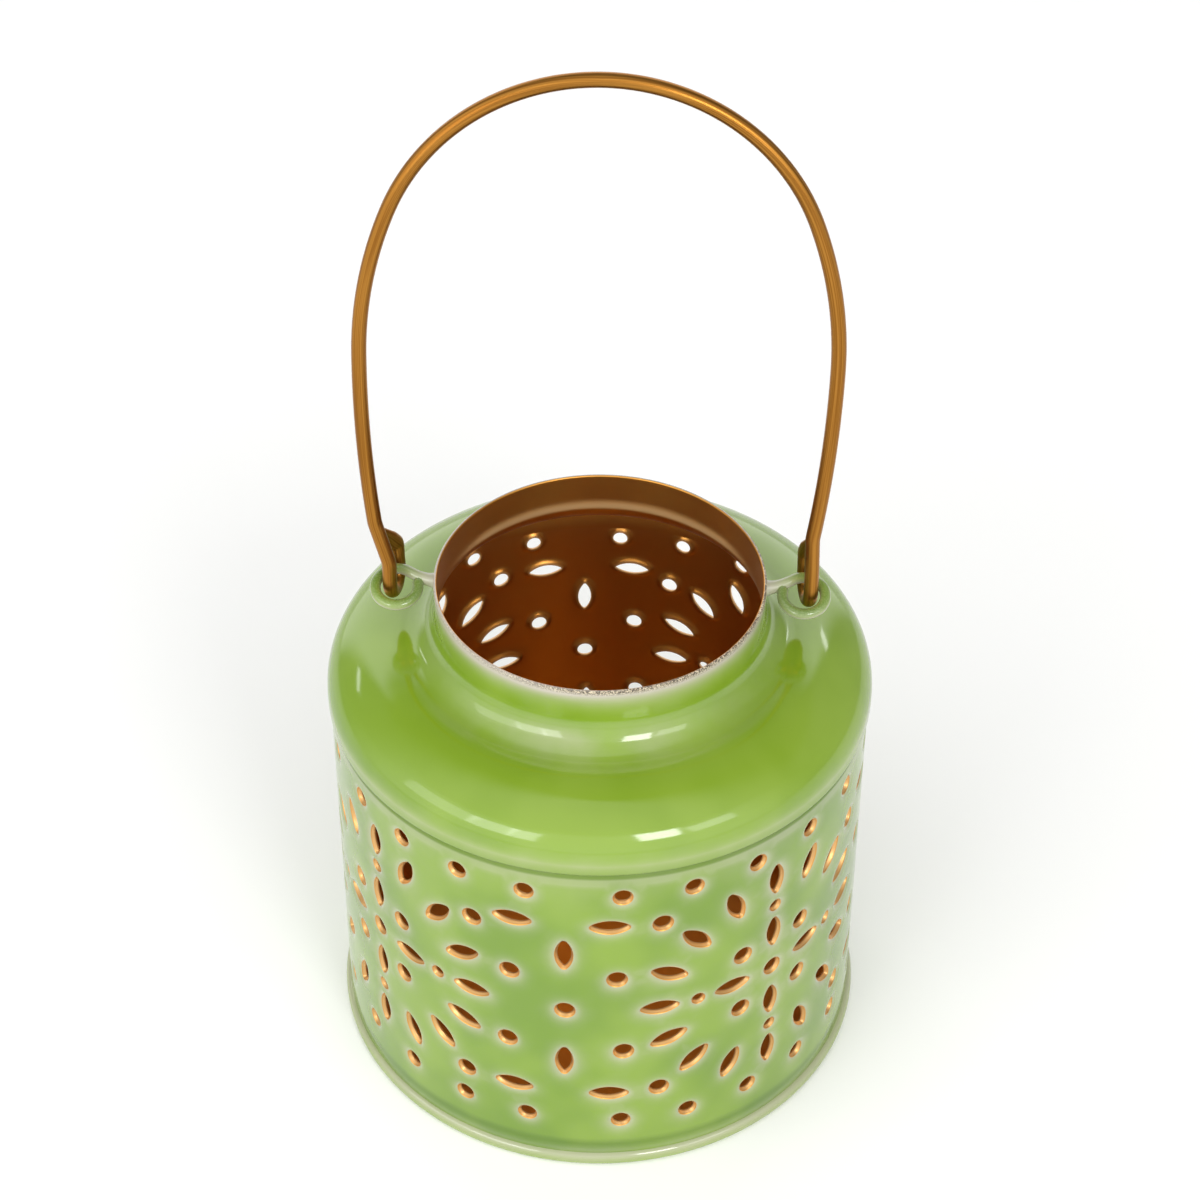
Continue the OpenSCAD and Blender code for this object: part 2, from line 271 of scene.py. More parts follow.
@dataclass(frozen=True)
class GoldPaint:
    """Gold bronze paint, sprayed on the steel inside the lantern.

    The eye sees a soft metal sheen, deep brown where the paint only mirrors itself and bright cream where
    it lies thin over a hole's punched lip, with a fine orange peel. That cream is partly painted highlight
    on the lips, and wholly painted highlight in a band inside the neck at the back.
    """

    fill: str = "#d89c48"
    shade: str = "#c48840"
    # Paler, less metallic paint: thin paint on the punched lips with painted highlight, and painted
    # highlight in a band inside the neck.
    thin: str = "#d8b27c"
    thin_metal: float = 0.42
    roughness: float = 0.36
    clouds: tuple = (1 / (30.0 * MM), 3.0, 0.5)
    peel: tuple = (1 / (0.9 * MM), 2.0, 0.5)
    peel_depth_mm: float = 0.012

    def material(self) -> bpy.types.Material:
        """Builds the node material.

        Returns:
            The paint.
        """
        material = bpy.data.materials.new("sprayed_gold_bronze_paint")
        add = emptied(material)
        place = add("TexCoord", {}, "Object")
        # The haze mark carries the painted highlight on the lips and inside the neck.
        lip = add("Attribute", {"attribute_name": Mark.HAZE.value}, "Fac")
        clouds, peel = (
            add("TexNoise", dict(zip(NOISE, noise)) | {"Vector": place}, "Fac")
            for noise in (self.clouds, self.peel)
        )
        body = add("MixRGB", {"Fac": clouds, "Color1": self.shade, "Color2": self.fill}, "Color")
        metal = EASED | dict(zip(SPAN, (0.0, 1.0, 1.0, self.thin_metal))) | {"Value": lip}
        bump = {"Strength": 1.0, "Distance": self.peel_depth_mm * MM, "Height": peel}
        finish = {
            "Base Color": add("MixRGB", {"Fac": lip, "Color1": body, "Color2": self.thin}, "Color"),
            "Metallic": add("MapRange", metal, "Result"),
            "Roughness": self.roughness,
            "Normal": add("Bump", bump, "Normal"),
        }
        add("OutputMaterial", {"Surface": add("BsdfPrincipled", finish, "BSDF")})
        return material


@dataclass(frozen=True)
class PaintedWire:
    """Gold paint over drawn steel wire.

    The eye sees a satin gold with faint streaks along the wire from the drawing die, and small dark
    scuffs where the paint has rubbed. The streaks' scale is one, because the UV map is stretched to them.
    """

    dark: str = "#8a5a22"
    light: str = "#aa7632"
    scuff: str = "#5a3a10"
    roughness: float = 0.34
    streak_mm: float = 0.45
    streak_run_mm: float = 45.0
    streaks: tuple = (1.0, 3.0, 0.5)
    streak_span: tuple = (0.36, 0.64)
    streak_depth_mm: float = 0.02
    scuffs: tuple = (1 / (5.0 * MM), 6.0, 0.75)
    scuff_span: tuple = (0.68, 0.74, 0.0, 0.7)

    def material(self) -> bpy.types.Material:
        """Builds the node material, whose streaks follow the piece's own UV map.

        Returns:
            The painted wire.
        """
        material = bpy.data.materials.new("gold_paint_on_drawn_wire")
        add = emptied(material)
        along_wire = add("UVMap", {"uv_map": WIRE_UV}, "UV")
        stretch = (1 / self.streak_run_mm, 1 / self.streak_mm, 1.0)
        streaked = add("Mapping", {"Vector": along_wire, "Scale": stretch}, "Vector")
        streaks, rubs = (
            add("TexNoise", dict(zip(NOISE, noise)) | {"Vector": place}, "Fac")
            for noise, place in (
                (self.streaks, streaked), (self.scuffs, add("TexCoord", {}, "Object")),
            )
        )
        light, rubbed = (
            add("MapRange", EASED | dict(zip(SPAN, span)) | {"Value": value}, "Result")
            for value, span in ((streaks, self.streak_span), (rubs, self.scuff_span))
        )
        color = add("MixRGB", {"Fac": light, "Color1": self.dark, "Color2": self.light}, "Color")
        bump = {"Strength": 1.0, "Distance": self.streak_depth_mm * MM, "Height": streaks}
        finish = {
            "Base Color": add("MixRGB", {"Fac": rubbed, "Color1": color, "Color2": self.scuff}, "Color"),
            "Metallic": 1.0,
            "Roughness": self.roughness,
            "Normal": add("Bump", bump, "Normal"),
        }
        add("OutputMaterial", {"Surface": add("BsdfPrincipled", finish, "BSDF")})
        return material


@dataclass(frozen=True)
class MattPaper:
    """Matt white paper under the lantern: a plain pale floor with no gloss."""

    color: str = "#fdfdfc"
    roughness: float = 0.95
    gloss: float = 0.1

    def material(self) -> bpy.types.Material:
        """Builds the node material.

        Returns:
            The paper.
        """
        material = bpy.data.materials.new("matt_white_paper")
        add = emptied(material)
        finish = {"Base Color": self.color, "Roughness": self.roughness, "Specular IOR Level": self.gloss}
        add("OutputMaterial", {"Surface": add("BsdfPrincipled", finish, "BSDF")})
        return material


@dataclass(frozen=True)
class Finishes:
    """The materials that the pieces share."""

    enamel: bpy.types.Material
    paint: bpy.types.Material
    wire: bpy.types.Material


def cos_sin(turn: float) -> tuple[float, float]:
    """The cosine and the sine of a turn in degrees."""
    return math.cos(math.radians(turn)), math.sin(math.radians(turn))


def part_of(value: np.ndarray, whole: float) -> np.ndarray:
    """The value over the whole, held between nought and one."""
    return np.clip(value / whole, 0, 1)


def nearness(distance: np.ndarray, reach: float) -> np.ndarray:
    """One less the distance over the reach, held between nought and one."""
    return np.clip(1 - distance / reach, 0, 1)


def bell(value: np.ndarray, middle: float, width: float, top: float) -> np.ndarray:
    """The top times the exponential of minus the squared distance from the middle over the width."""
    return top * np.exp(-(((value - middle) / width) ** 2))


def valley(value: np.ndarray, middle: float, slope: float, least: float) -> np.ndarray:
    """The slope times the distance from the middle, and the least added to it."""
    return slope * np.abs(value - middle) + least


def polar(radius: np.ndarray | float, turn: np.ndarray | float) -> np.ndarray:
    """Points on a circle: radius times the cosine and the sine of the turn in degrees."""
    angle = np.radians(turn)
    return np.stack([radius * np.cos(angle), radius * np.sin(angle)], axis=-1)


def arc(centre: tuple[float, float], radius: float, start: float, end: float, steps: int) -> np.ndarray:
    """The centre plus the radius along each of the turns from the start to the end, evenly spaced."""
    return np.array(centre) + polar(radius, np.linspace(start, end, steps + 1))


def run(across: np.ndarray | float, up: np.ndarray | float) -> np.ndarray:
    """Rows of two values, where a single number stands for all the rows."""
    return np.stack(np.broadcast_arrays(across, up), axis=-1)


def along(path: np.ndarray) -> np.ndarray:
    """Distance of each point of a path from its start: the running sum of its steps' lengths."""
    return np.concatenate([[0.0], np.cumsum(np.linalg.norm(np.diff(path, axis=0), axis=1))])


def respace(path: np.ndarray, step: float, blur: float) -> np.ndarray:
    """Spaces a path's points evenly and rounds its kinks, by a running mean with a bell-shaped weight.

    Args:
        path: rows of coordinates.
        step: the new spacing.
        blur: the width of the bell.

    Returns:
        The new path, with the same ends.
    """
    length = along(path)
    places = np.linspace(0, length[-1], round(length[-1] / step))
    even = np.stack([np.interp(places, length, path[:, axis]) for axis in range(3)], axis=1)
    reach = math.ceil(3 * blur / step)
    weight = np.exp(-0.5 * (np.arange(-reach, reach + 1) * step / blur) ** 2)
    weight /= weight.sum()
    before = 2 * even[0] - even[1 : reach + 1][::-1]
    after = 2 * even[-1] - even[-reach - 1 : -1][::-1]
    padded = np.concatenate([before, even, after])
    return np.stack([np.convolve(padded[:, axis], weight, "valid") for axis in range(3)], axis=1)


@dataclass
class Surface:
    """A mesh in the making, in millimetres.

    Attributes:
        points: one row for each point.
        faces: arrays of quads or triangles, one row for each face.
        coats: for each array of faces, the number of each face's material.
        marks: values for each point, by name.
        wire_uv: for a swept wire, the place of each face's corners along and round it.
    """

    points: np.ndarray
    faces: list[np.ndarray]
    coats: list[np.ndarray]
    marks: Marks
    wire_uv: np.ndarray | None = None

    def __post_init__(self) -> None:
        """Drops the points that no face uses, and numbers the others afresh."""
        corners = np.concatenate([block.ravel() for block in self.faces])
        used, numbers = np.unique(corners, return_inverse=True)
        cuts = np.cumsum([block.size for block in self.faces])[:-1]
        afresh = np.split(numbers.ravel(), cuts)
        self.faces = [new.reshape(block.shape) for new, block in zip(afresh, self.faces)]
        self.points = self.points[used]
        self.marks = {mark: values[used] for mark, values in self.marks.items()}

    @classmethod
    def from_quads(
        cls, points: np.ndarray, quads: np.ndarray, coat: np.ndarray, marks: Marks,
        corners: np.ndarray | None = None,
    ) -> "Surface":
        """Makes a surface from quads, of which those with a doubled corner become triangles.

        Args:
            points: one row for each point.
            quads: four point numbers for each face.
            coat: the material's number of each face.
            marks: values for each point.
            corners: for a swept wire, the place of each quad's corners along and round it.

        Returns:
            The surface.
        """
        doubled = quads == np.roll(quads, -1, axis=1)
        whole = ~doubled.any(axis=1)
        keep = ~doubled[~whole]
        faces = [quads[whole], quads[~whole][keep].reshape(-1, 3)]
        if corners is not None:
            corners = np.concatenate([corners[whole].reshape(-1, 2), corners[~whole][keep]])
        return cls(points, faces, [coat[whole], coat[~whole]], marks, corners)

    @classmethod
    def lathe(cls, outline: np.ndarray, coat: np.ndarray, marks: Marks, steps: int) -> "Surface":
        """Turns an outline round Z: each point's radius goes round the circle at its own height.

        A point with no radius becomes one pole. The outline is closed from its last point to its first
        unless both are poles, and runs with the solid on its left, seen with the radius to the right and
        Z up.

        Args:
            outline: rows of radius and height.
            coat: the material's number of the band that starts at each point.
            marks: values for each outline point.
            steps: steps round the circle.

        Returns:
            The turned surface.
        """
        count = len(outline)
        pole = outline[:, 0] < TINY
        turn = np.linspace(0, 360, steps, endpoint=False)
        height = np.broadcast_to(outline[:, 1][:, None, None], (count, steps, 1))
        points = np.concatenate([polar(outline[:, 0][:, None], turn[None, :]), height], axis=2)
        number = np.arange(count * steps).reshape(count, steps)
        number = np.where(pole[:, None], number[:, :1], number)
        bands = count - 1 if pole[0] and pole[-1] else count
        low, high = number[:bands], np.roll(number, -1, axis=0)[:bands]
        quads = np.stack([low, np.roll(low, -1, axis=1), np.roll(high, -1, axis=1), high], axis=-1)
        spread = {mark: np.repeat(values, steps) for mark, values in marks.items()}
        points, quads = points.reshape(-1, 3), quads.reshape(-1, 4)
        return cls.from_quads(points, quads, np.repeat(coat[:bands], steps), spread)

    def piece(self, name: str, *materials: bpy.types.Material) -> bpy.types.Object:
        """Turns the surface into an object at the origin, with its place in its mesh.

        Args:
            name: the piece's name.
            materials: its materials, in the order of their numbers.

        Returns:
            The new object.
        """
        mesh = bpy.data.meshes.new(name)
        rows = [row for block in self.faces for row in block.tolist()]
        mesh.from_pydata((self.points * MM).tolist(), [], rows)
        mesh.polygons.foreach_set("material_index", np.concatenate(self.coats).astype(np.int32))
        for mark, values in self.marks.items():
            layer = mesh.attributes.new(mark.value, "FLOAT", "POINT")
            layer.data.foreach_set("value", values.astype(np.float32))
        if self.wire_uv is not None:
            layer = mesh.uv_layers.new(name=WIRE_UV)
            layer.data.foreach_set("uv", self.wire_uv.astype(np.float32).ravel())
        for material in materials:
            mesh.materials.append(material)
        mesh.shade_smooth()
        mesh.set_sharp_from_angle(angle=math.radians(SHARP_TURN))
        mesh.update()
        piece = bpy.data.objects.new(name, mesh)
        bpy.context.scene.collection.objects.link(piece)
        return piece


@dataclass
class WireForm:
    """A wire: an oval section carried along a path.

    Attributes:
        path: the wire's middle line.
        aside: for each point a direction that is never along the path; the section's wide way lies near it.
        half_wide: half the section's width at each point.
        half_thick: half its thickness at each point.
        sides: points round the section.
        cap_steps: steps from an end's tip to its round section.
        flat_start: whether the wire starts with a flat end, not a round one.
    """

    path: np.ndarray
    aside: np.ndarray
    half_wide: np.ndarray
    half_thick: np.ndarray
    sides: int = 32
    cap_steps: int = 8
    flat_start: bool = False

    def surface(self) -> Surface:
        """Carries the section along the path.

        At each point the wide way is the aside direction less its part along the path, and the thin way is
        square to both. Each section point is the middle plus the wide way times the cosine and the thin way
        times the sine of its turn. Half-round caps close both ends, or a flat disc the first one.

        Returns:
            The wire's surface.
        """
        tangent = np.gradient(self.path, along(self.path), axis=0)
        tangent /= np.linalg.norm(tangent, axis=1)[:, None]
        cap = np.radians(np.linspace(90, 0, self.cap_steps + 1)[:-1])
        start, end = (
            self.path[k] + self.half_thick[k] * np.sin(cap)[:, None] * sign * tangent[k]
            for k, sign in ((0, 0.0 if self.flat_start else -1.0), (-1, 1.0))
        )
        path = np.concatenate([start, self.path, end[::-1]])
        swell = np.concatenate([np.cos(cap), np.ones(len(self.path)), np.cos(cap)[::-1]])
        pad = (len(cap), len(cap))
        wide, thick = (np.pad(half, pad, "edge") * swell for half in (self.half_wide, self.half_thick))
        tangent, aside = (np.pad(rows, (pad, (0, 0)), "edge") for rows in (tangent, self.aside))
        u = aside - np.sum(aside * tangent, axis=1)[:, None] * tangent
        u /= np.linalg.norm(u, axis=1)[:, None]
        v = np.cross(tangent, u)
        turn = np.linspace(0, 2 * math.pi, self.sides, endpoint=False)
        points = (
            path[:, None, :]
            + (wide[:, None] * np.cos(turn))[:, :, None] * u[:, None, :]
            + (thick[:, None] * np.sin(turn))[:, :, None] * v[:, None, :]
        )
        number = np.arange(len(path) * self.sides).reshape(-1, self.sides)
        number[0], number[-1] = number[0, 0], number[-1, 0]
        low, high = number[:-1], number[1:]
        quads = np.stack([low, np.roll(low, -1, 1), np.roll(high, -1, 1), high], axis=-1).reshape(-1, 4)
        round_mm = np.max(self.half_wide) * np.append(turn, 2 * math.pi)
        uv = np.stack(np.meshgrid(along(path), round_mm, indexing="ij"), axis=-1)
        corners = np.stack([uv[:-1, :-1], uv[:-1, 1:], uv[1:, 1:], uv[1:, :-1]], axis=2).reshape(-1, 4, 2)
        return Surface.from_quads(points.reshape(-1, 3), quads, np.zeros(len(quads), int), {}, corners)


@dataclass(frozen=True)
class Drum:
    """Sizes that the pieces share, read from the frame."""

    outer_r: float
    foot_z: float
    top_z: float
    sheet_t: float = 0.8

    @classmethod
    def from_frame(cls) -> "Drum":
        """Reads the drum's size, in millimetres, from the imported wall."""
        low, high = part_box("pierced_wall")
        return cls(outer_r=high.x / MM, foot_z=low.z / MM, top_z=high.z / MM)

    @property
    def inner_r(self) -> float:
        """Radius of the wall's inner face."""
        return self.outer_r - self.sheet_t


@dataclass
class Holes:
    """Rounded lens outlines on the unrolled wall; a round hole is a lens whose tips meet.

    Attributes:
        place: distance along the wall from its seam, and height, for each hole.
        turn: each hole's own turn in degrees.
        offset: distance of the two arc centres from the hole's long line.
        inner: radius of the two arcs less the tip's rounding.
        tip: distance of each tip's centre from the middle.
        rounding: radius of the tips' rounding, or of a round hole.
        lean: turn at which the tip's rounding meets the arc.
    """

    place: np.ndarray
    turn: np.ndarray
    offset: np.ndarray
    inner: np.ndarray
    tip: np.ndarray
    rounding: np.ndarray
    lean: np.ndarray

    def outlines(self, distance: np.ndarray, steps: int) -> np.ndarray:
        """Outlines that run at given distances outside every hole's edge.

        Each point is a point of the lens's inner line plus its outward direction times the rounding and
        the distance, so all the outlines of a hole are parallel.

        Args:
            distance: distances outside the edge, one row for each hole.
            steps: points in each outline, a multiple of 24.

        Returns:
            Places with the axes hole, point, distance and coordinate.
        """
        corners = np.array(OUTLINE_PARTS) / OUTLINE_PARTS[-1] * steps
        lean = self.lean
        turns = np.stack([-lean, lean, 180 - lean, 180 + lean, 360 - lean], axis=1)
        k = np.arange(steps)
        which = np.clip(np.searchsorted(corners, k, side="right") - 1, 0, 3)
        share = (k - corners[which]) / (corners[which + 1] - corners[which])
        way = turns[:, which] * (1 - share) + turns[:, which + 1] * share
        out = polar(1.0, way)
        on_tip = (which % 2 == 0)[None, :, None]
        side = np.where(which == 1, 1.0, -1.0)[None, :]
        sign = np.where(which == 0, 1.0, -1.0)[None, :]
        tips = np.stack([self.tip[:, None] * sign, np.zeros_like(way)], axis=-1)
        arcs = self.inner[:, None, None] * out
        arcs[..., 1] -= self.offset[:, None] * side
        base = np.where(on_tip, tips, arcs)
        reach = self.rounding[:, None] + distance
        local = base[:, :, None, :] + out[:, :, None, :] * reach[:, None, :, None]
        cos, sin = np.cos(np.radians(self.turn)), np.sin(np.radians(self.turn))
        x = local[..., 0] * cos[:, None, None] - local[..., 1] * sin[:, None, None]
        y = local[..., 0] * sin[:, None, None] + local[..., 1] * cos[:, None, None]
        return np.stack([x, y], axis=-1) + self.place[:, None, None, :]

    def distance(self, hole: int, spots: np.ndarray) -> np.ndarray:
        """Distance of spots from one hole's edge, below zero inside it.

        Beside the lens it is the distance from the far arc's centre less the arc's radius, and beyond a
        tip the distance from the tip's centre less its rounding.

        Args:
            hole: the hole's number.
            spots: rows of distance along the wall and height.

        Returns:
            One distance for each spot.
        """
        cos, sin = cos_sin(self.turn[hole])
        along_hole, across_hole = (spots - self.place[hole]).T
        x = np.abs(along_hole * cos + across_hole * sin)
        y = np.abs(across_hole * cos - along_hole * sin) + self.offset[hole]
        beside = np.hypot(x, y) - self.inner[hole]
        beyond = np.hypot(x - self.tip[hole], y - self.offset[hole])
        in_arc = np.degrees(np.arctan2(y, x)) >= self.lean[hole]
        return np.where(in_arc, beside, beyond) - self.rounding[hole]

    def nearest(self, spots: np.ndarray) -> np.ndarray:
        """Distance of each spot from the nearest hole's edge: the least of all its distances."""
        return np.min([self.distance(hole, spots) for hole in range(len(self.turn))], axis=0)

    def gaps(self, steps: int) -> np.ndarray:
        """Least distance from each hole's edge to another hole's, measured at its outline's points.

        Args:
            steps: points in each outline.

        Returns:
            One distance for each hole.
        """
        count = len(self.turn)
        edges = self.outlines(np.zeros((count, 1)), steps).reshape(-1, 2)
        apart = np.array([self.distance(hole, edges) for hole in range(count)]).reshape(count, count, steps)
        apart[np.arange(count), np.arange(count)] = np.inf
        return apart.min(axis=(0, 2))


@dataclass(frozen=True)
class Piercing:
    """The punched pattern: roses of pointed petals, panels between them and a row of holes at each edge.

    Shares of the rose pitch go along the wall, and shares of the wall's top height go up it.
    """

    petal_l: float = 10.3
    petal_w: float = 4.2
    round_d: float = 4.8
    row_d: float = 4.5
    dot_d: float = 3.3
    tip_r: float = 0.75
    rose_count: int = 4
    ring_count: int = 16
    seam_turn: float = -90.5
    rose_pitch_share: float = 0.265
    rose_z_share: float = 0.541
    ring_w_share: float = 0.301
    ring_h_share: float = 0.291
    dot_ring_share: float = 0.205
    round_ring_share: float = 0.128
    cross_ring_share: float = 0.117
    panel_petal_shares: tuple = (
        (0.004, 0.729, 90), (0.002, 0.366, 90),
        (-0.112, 0.826, 0), (0.103, 0.826, 0), (-0.114, 0.252, 0), (0.103, 0.253, 0),
    )
    panel_round_shares: tuple = (
        (0.004, 0.543), (-0.119, 0.648), (0.12, 0.652), (-0.127, 0.411), (0.135, 0.402),
        (-0.207, 0.787), (0.218, 0.825), (-0.233, 0.249), (0.216, 0.257),
    )
    row_count: int = 6
    row_start_share: float = -0.369
    row_step_share: float = 0.157
    row_z_shares: tuple = (0.155, 0.923)
    seam_margin_share: float = 0.03
    hand_mm: float = 0.12
    hand_turn: float = 1.5

    def holes(self, drum: Drum) -> Holes:
        """Places every hole of the pattern, each a little off as a hand-set punch leaves it.

        Args:
            drum: the drum's sizes.

        Returns:
            The holes, with places counted from the wall's seam.
        """
        length = 2 * math.pi * drum.outer_r
        pitch = self.rose_pitch_share * length
        size = min(pitch, drum.top_z)
        rose_z = self.rose_z_share * drum.top_z
        start = (length - (self.rose_count - 1) * pitch) / 2
        petals, rounds = [], []
        for rose in range(self.rose_count):
            middle = np.array([start + rose * pitch, rose_z])
            rounds.append((*middle, self.round_d))
            for turn in np.arange(self.ring_count) * 360 / self.ring_count:
                reach = np.array([self.ring_w_share, self.ring_h_share]) * size * polar(1.0, turn)
                petals.append((*(middle + reach), turn))
            for turn in (0, 90, 180, 270):
                petals.append((*(middle + polar(self.cross_ring_share * size, turn)), turn))
                rounds.append((*(middle + polar(self.dot_ring_share * size, turn)), self.dot_d))
                rounds.append((*(middle + polar(self.round_ring_share * size, turn + 45)), self.round_d))
            for k in range(self.row_count):
                s = middle[0] + (self.row_start_share + k * self.row_step_share) * pitch
                if self.seam_margin_share * length < s < (1 - self.seam_margin_share) * length:
                    rounds.extend((s, share * drum.top_z, self.row_d) for share in self.row_z_shares)
        for panel in range(self.rose_count - 1):
            s = start + (panel + 0.5) * pitch
            petals.extend((s + a * pitch, z * drum.top_z, turn) for a, z, turn in self.panel_petal_shares)
            rounds.extend((s + a * pitch, z * drum.top_z, self.round_d) for a, z in self.panel_round_shares)
        return self.outlined(np.array(petals), np.array(rounds))

    def outlined(self, petals: np.ndarray, rounds: np.ndarray) -> Holes:
        """Gives each petal and each round hole its outline.

        A petal is the overlap of two discs: with l its length and w its width, the disc's radius is l
        squared plus w squared, over four w. Rounding its tips draws the arcs in and moves the tips.

        Args:
            petals: rows of place along the wall, height and turn.
            rounds: rows of place along the wall, height and diameter.

        Returns:
            The holes.
        """
        chance = np.random.default_rng(SEED)
        place = np.concatenate([petals[:, :2], rounds[:, :2]])
        place += chance.uniform(-self.hand_mm, self.hand_mm, place.shape)
        turn = np.concatenate([petals[:, 2], np.zeros(len(rounds))])
        turn += chance.uniform(-self.hand_turn, self.hand_turn, len(turn))
        disc = (self.petal_l**2 + self.petal_w**2) / (4 * self.petal_w)
        offset = disc - self.petal_w / 2
        inner = disc - self.tip_r
        tip = math.sqrt(inner**2 - offset**2)
        is_petal = np.repeat([1.0, 0.0], [len(petals), len(rounds)])
        return Holes(
            place=place,
            turn=turn,
            offset=is_petal * offset,
            inner=is_petal * inner,
            tip=is_petal * tip,
            rounding=np.concatenate([np.full(len(petals), self.tip_r), rounds[:, 2] / 2]),
            lean=np.where(is_petal > 0, math.degrees(math.atan2(offset, tip)), ROUND_LEAN),
        )


def row_of(chosen: np.ndarray, order: np.ndarray) -> np.ndarray:
    """The numbers of the chosen spots, sorted by their order."""
    numbers = np.flatnonzero(chosen)
    return numbers[np.argsort(order[numbers])]


@dataclass
class PiercedWall:
    """The drum's wall: one punched strip rolled into a tube, enamelled outside and gold inside.

    Rings are distances from a hole's edge, and the throat's rows are a distance and a depth. In the marks
    a thin line is its place, a slope and a least distance, and a band is its place, width and strength.
    Places count up from the foot, or down from the top where the name says top.
    """

    drum: Drum
    piercing: Piercing = field(default_factory=Piercing)
    dish_depth: float = 0.55
    dish_reach: float = 1.9
    dish_power: float = 2.5
    burr_height: float = 0.95
    burr_reach: float = 1.6
    outer_rings: tuple = (1.9, 1.3, 0.85, 0.5, 0.22, 0.05)
    throat: tuple = (
        (0.02, 0.6), (-0.1, 0.82), (-0.24, 1.02), (-0.36, 1.25), (-0.4, 1.5), (-0.28, 1.7), (-0.05, 1.66),
    )
    inner_rings: tuple = (0.45, 0.8, 1.25, 1.9)
    outline_steps: int = 24
    ring_share: float = 0.46
    clear_share: float = 0.4
    fill_mm: float = 2.4
    lap_t: float = 0.3
    lap_step: float = 0.3
    lap_fade: float = 5.0
    top_rows: tuple = (0.25, 0.5, 0.8, 1.2, 1.8)
    top_tuck: float = 0.6
    top_tuck_h: float = 1.4
    full_mm: float = 8.0
    thin_top: tuple = (2.6, 1.1, 0.1)
    thin_foot: tuple = (3.8, 1.2, 0.5)
    pool: float = 0.45
    foot_pool: tuple = (6.3, 1.5, 0.5)
    # Painted shade in the crease above the foot and under the shoulder's lip.
    foot_shade: tuple = (6.3, 1.0, 0.85)
    top_shade: tuple = (1.9, 0.6, 0.6)
    haze: float = 0.01
    top_haze: float = 0.16
    top_haze_reach: float = 4.5
    # On the punched lips the gold paint is paler and less metallic: thin paint over the cut edge, with
    # painted highlight.
    throat_thin_paint_and_highlight: float = 0.6

    def dish(self, gap: np.ndarray) -> np.ndarray:
        """Depth of the outer face at a distance from a hole: it falls as a power of the nearness."""
        return self.dish_depth * nearness(gap, self.dish_reach) ** self.dish_power

    def burr(self, gap: np.ndarray) -> np.ndarray:
        """Depth of the inner face there, pushed in by the punch: it falls as the nearness squared."""
        return self.drum.sheet_t + self.burr_height * nearness(gap, self.burr_reach) ** 2

    def grid(self, length: float) -> np.ndarray:
        """Spots in staggered rows over the unrolled wall, with both ends and the lap's step as columns.

        Args:
            length: the wall's length.

        Returns:
            Rows of distance along the wall and height.
        """
        top = self.drum.top_z
        below = top - 2 * self.top_rows[-1]
        rows = round((below - self.drum.foot_z) / (self.fill_mm * math.sqrt(0.75)))
        tops = top - np.array((*self.top_rows[::-1], 0.0))
        heights = np.concatenate([np.linspace(self.drum.foot_z, below, rows + 1), tops])
        staggers = np.concatenate([np.arange(rows + 1) % 2 / 2, np.zeros(len(tops))])
        count = round(length / self.fill_mm)
        columns = [run(s, heights) for s in (0.0, self.lap_step, length)]
        spots = [
            run((np.arange(1, count) + stagger) * length / (count + 0.5), z)
            for z, stagger in zip(heights, staggers)
        ]
        return np.concatenate(columns + spots)

    def fill(self, holes: Holes, reach: np.ndarray, length: float) -> tuple[np.ndarray, np.ndarray]:
        """Fills the flat sheet with triangles between one outline round each hole.

        Twice a triangle's area is one side's run along times the other's rise, less its rise times the
        other's run; where that is below zero, the triangle is turned round.

        Args:
            holes: the holes.
            reach: how far outside each hole's edge its outline runs.
            length: the wall's length.

        Returns:
            The spots, with the outlines' last, and the triangles.
        """
        count, steps = len(reach), self.outline_steps
        spots = self.grid(length)
        clear = np.ones(len(spots), bool)
        for hole in range(count):
            clear &= holes.distance(hole, spots) > reach[hole] + self.clear_share * self.fill_mm
        spots = spots[clear]
        sheet = np.concatenate([spots, holes.outlines(reach[:, None], steps).reshape(-1, 2)])
        ring = np.arange(count * steps).reshape(count, steps) + len(spots)
        loops = np.stack([ring, np.roll(ring, -1, 1)], -1).reshape(-1, 2)
        found = delaunay_2d_cdt([Vector(p) for p in sheet], loops.tolist(), [], 0, SLIVER)
        triangles = np.array(found[2])
        owner = np.concatenate([np.full(len(spots), -1), np.repeat(np.arange(count), steps)])[triangles]
        in_hole = (owner[:, 0] >= 0) & (owner == owner[:, :1]).all(axis=1)
        triangles = triangles[~in_hole]
        first, second, third = (sheet[triangles[:, corner]] for corner in range(3))
        a, b = second - first, third - first
        area = a[:, 0] * b[:, 1] - a[:, 1] * b[:, 0]
        solid = np.abs(area) > SLIVER
        triangles, flip = triangles[solid], area[solid] < 0
        triangles[flip] = triangles[flip][:, ::-1]
        return sheet, triangles

    def rings(self, holes: Holes, squeeze: np.ndarray) -> tuple[np.ndarray, np.ndarray, np.ndarray]:
        """Outlines round each hole, from the outer face through the throat to the inner face.

        Args:
            holes: the holes.
            squeeze: for each hole, how far its rings on the faces are drawn in, as a share.

        Returns:
            Their places, their distances from the nearest hole and their depths.
        """
        outer, inner, throat = map(np.array, (self.outer_rings[1:], self.inner_rings[:-1], self.throat))
        first, last = len(outer), len(outer) + len(throat)
        wide = squeeze[:, None] * np.concatenate([outer, np.zeros(len(throat)), inner])
        tight = np.concatenate([np.zeros(first), throat[:, 0], np.zeros(len(inner))])
        rings = holes.outlines(wide + tight, self.outline_steps)
        gap = holes.nearest(rings.reshape(-1, 2)).reshape(rings.shape[:3])
        depth = self.dish(gap)
        depth[..., first:last] = throat[:, 1]
        depth[..., last:] = self.burr(gap[..., last:])
        return rings, gap, depth

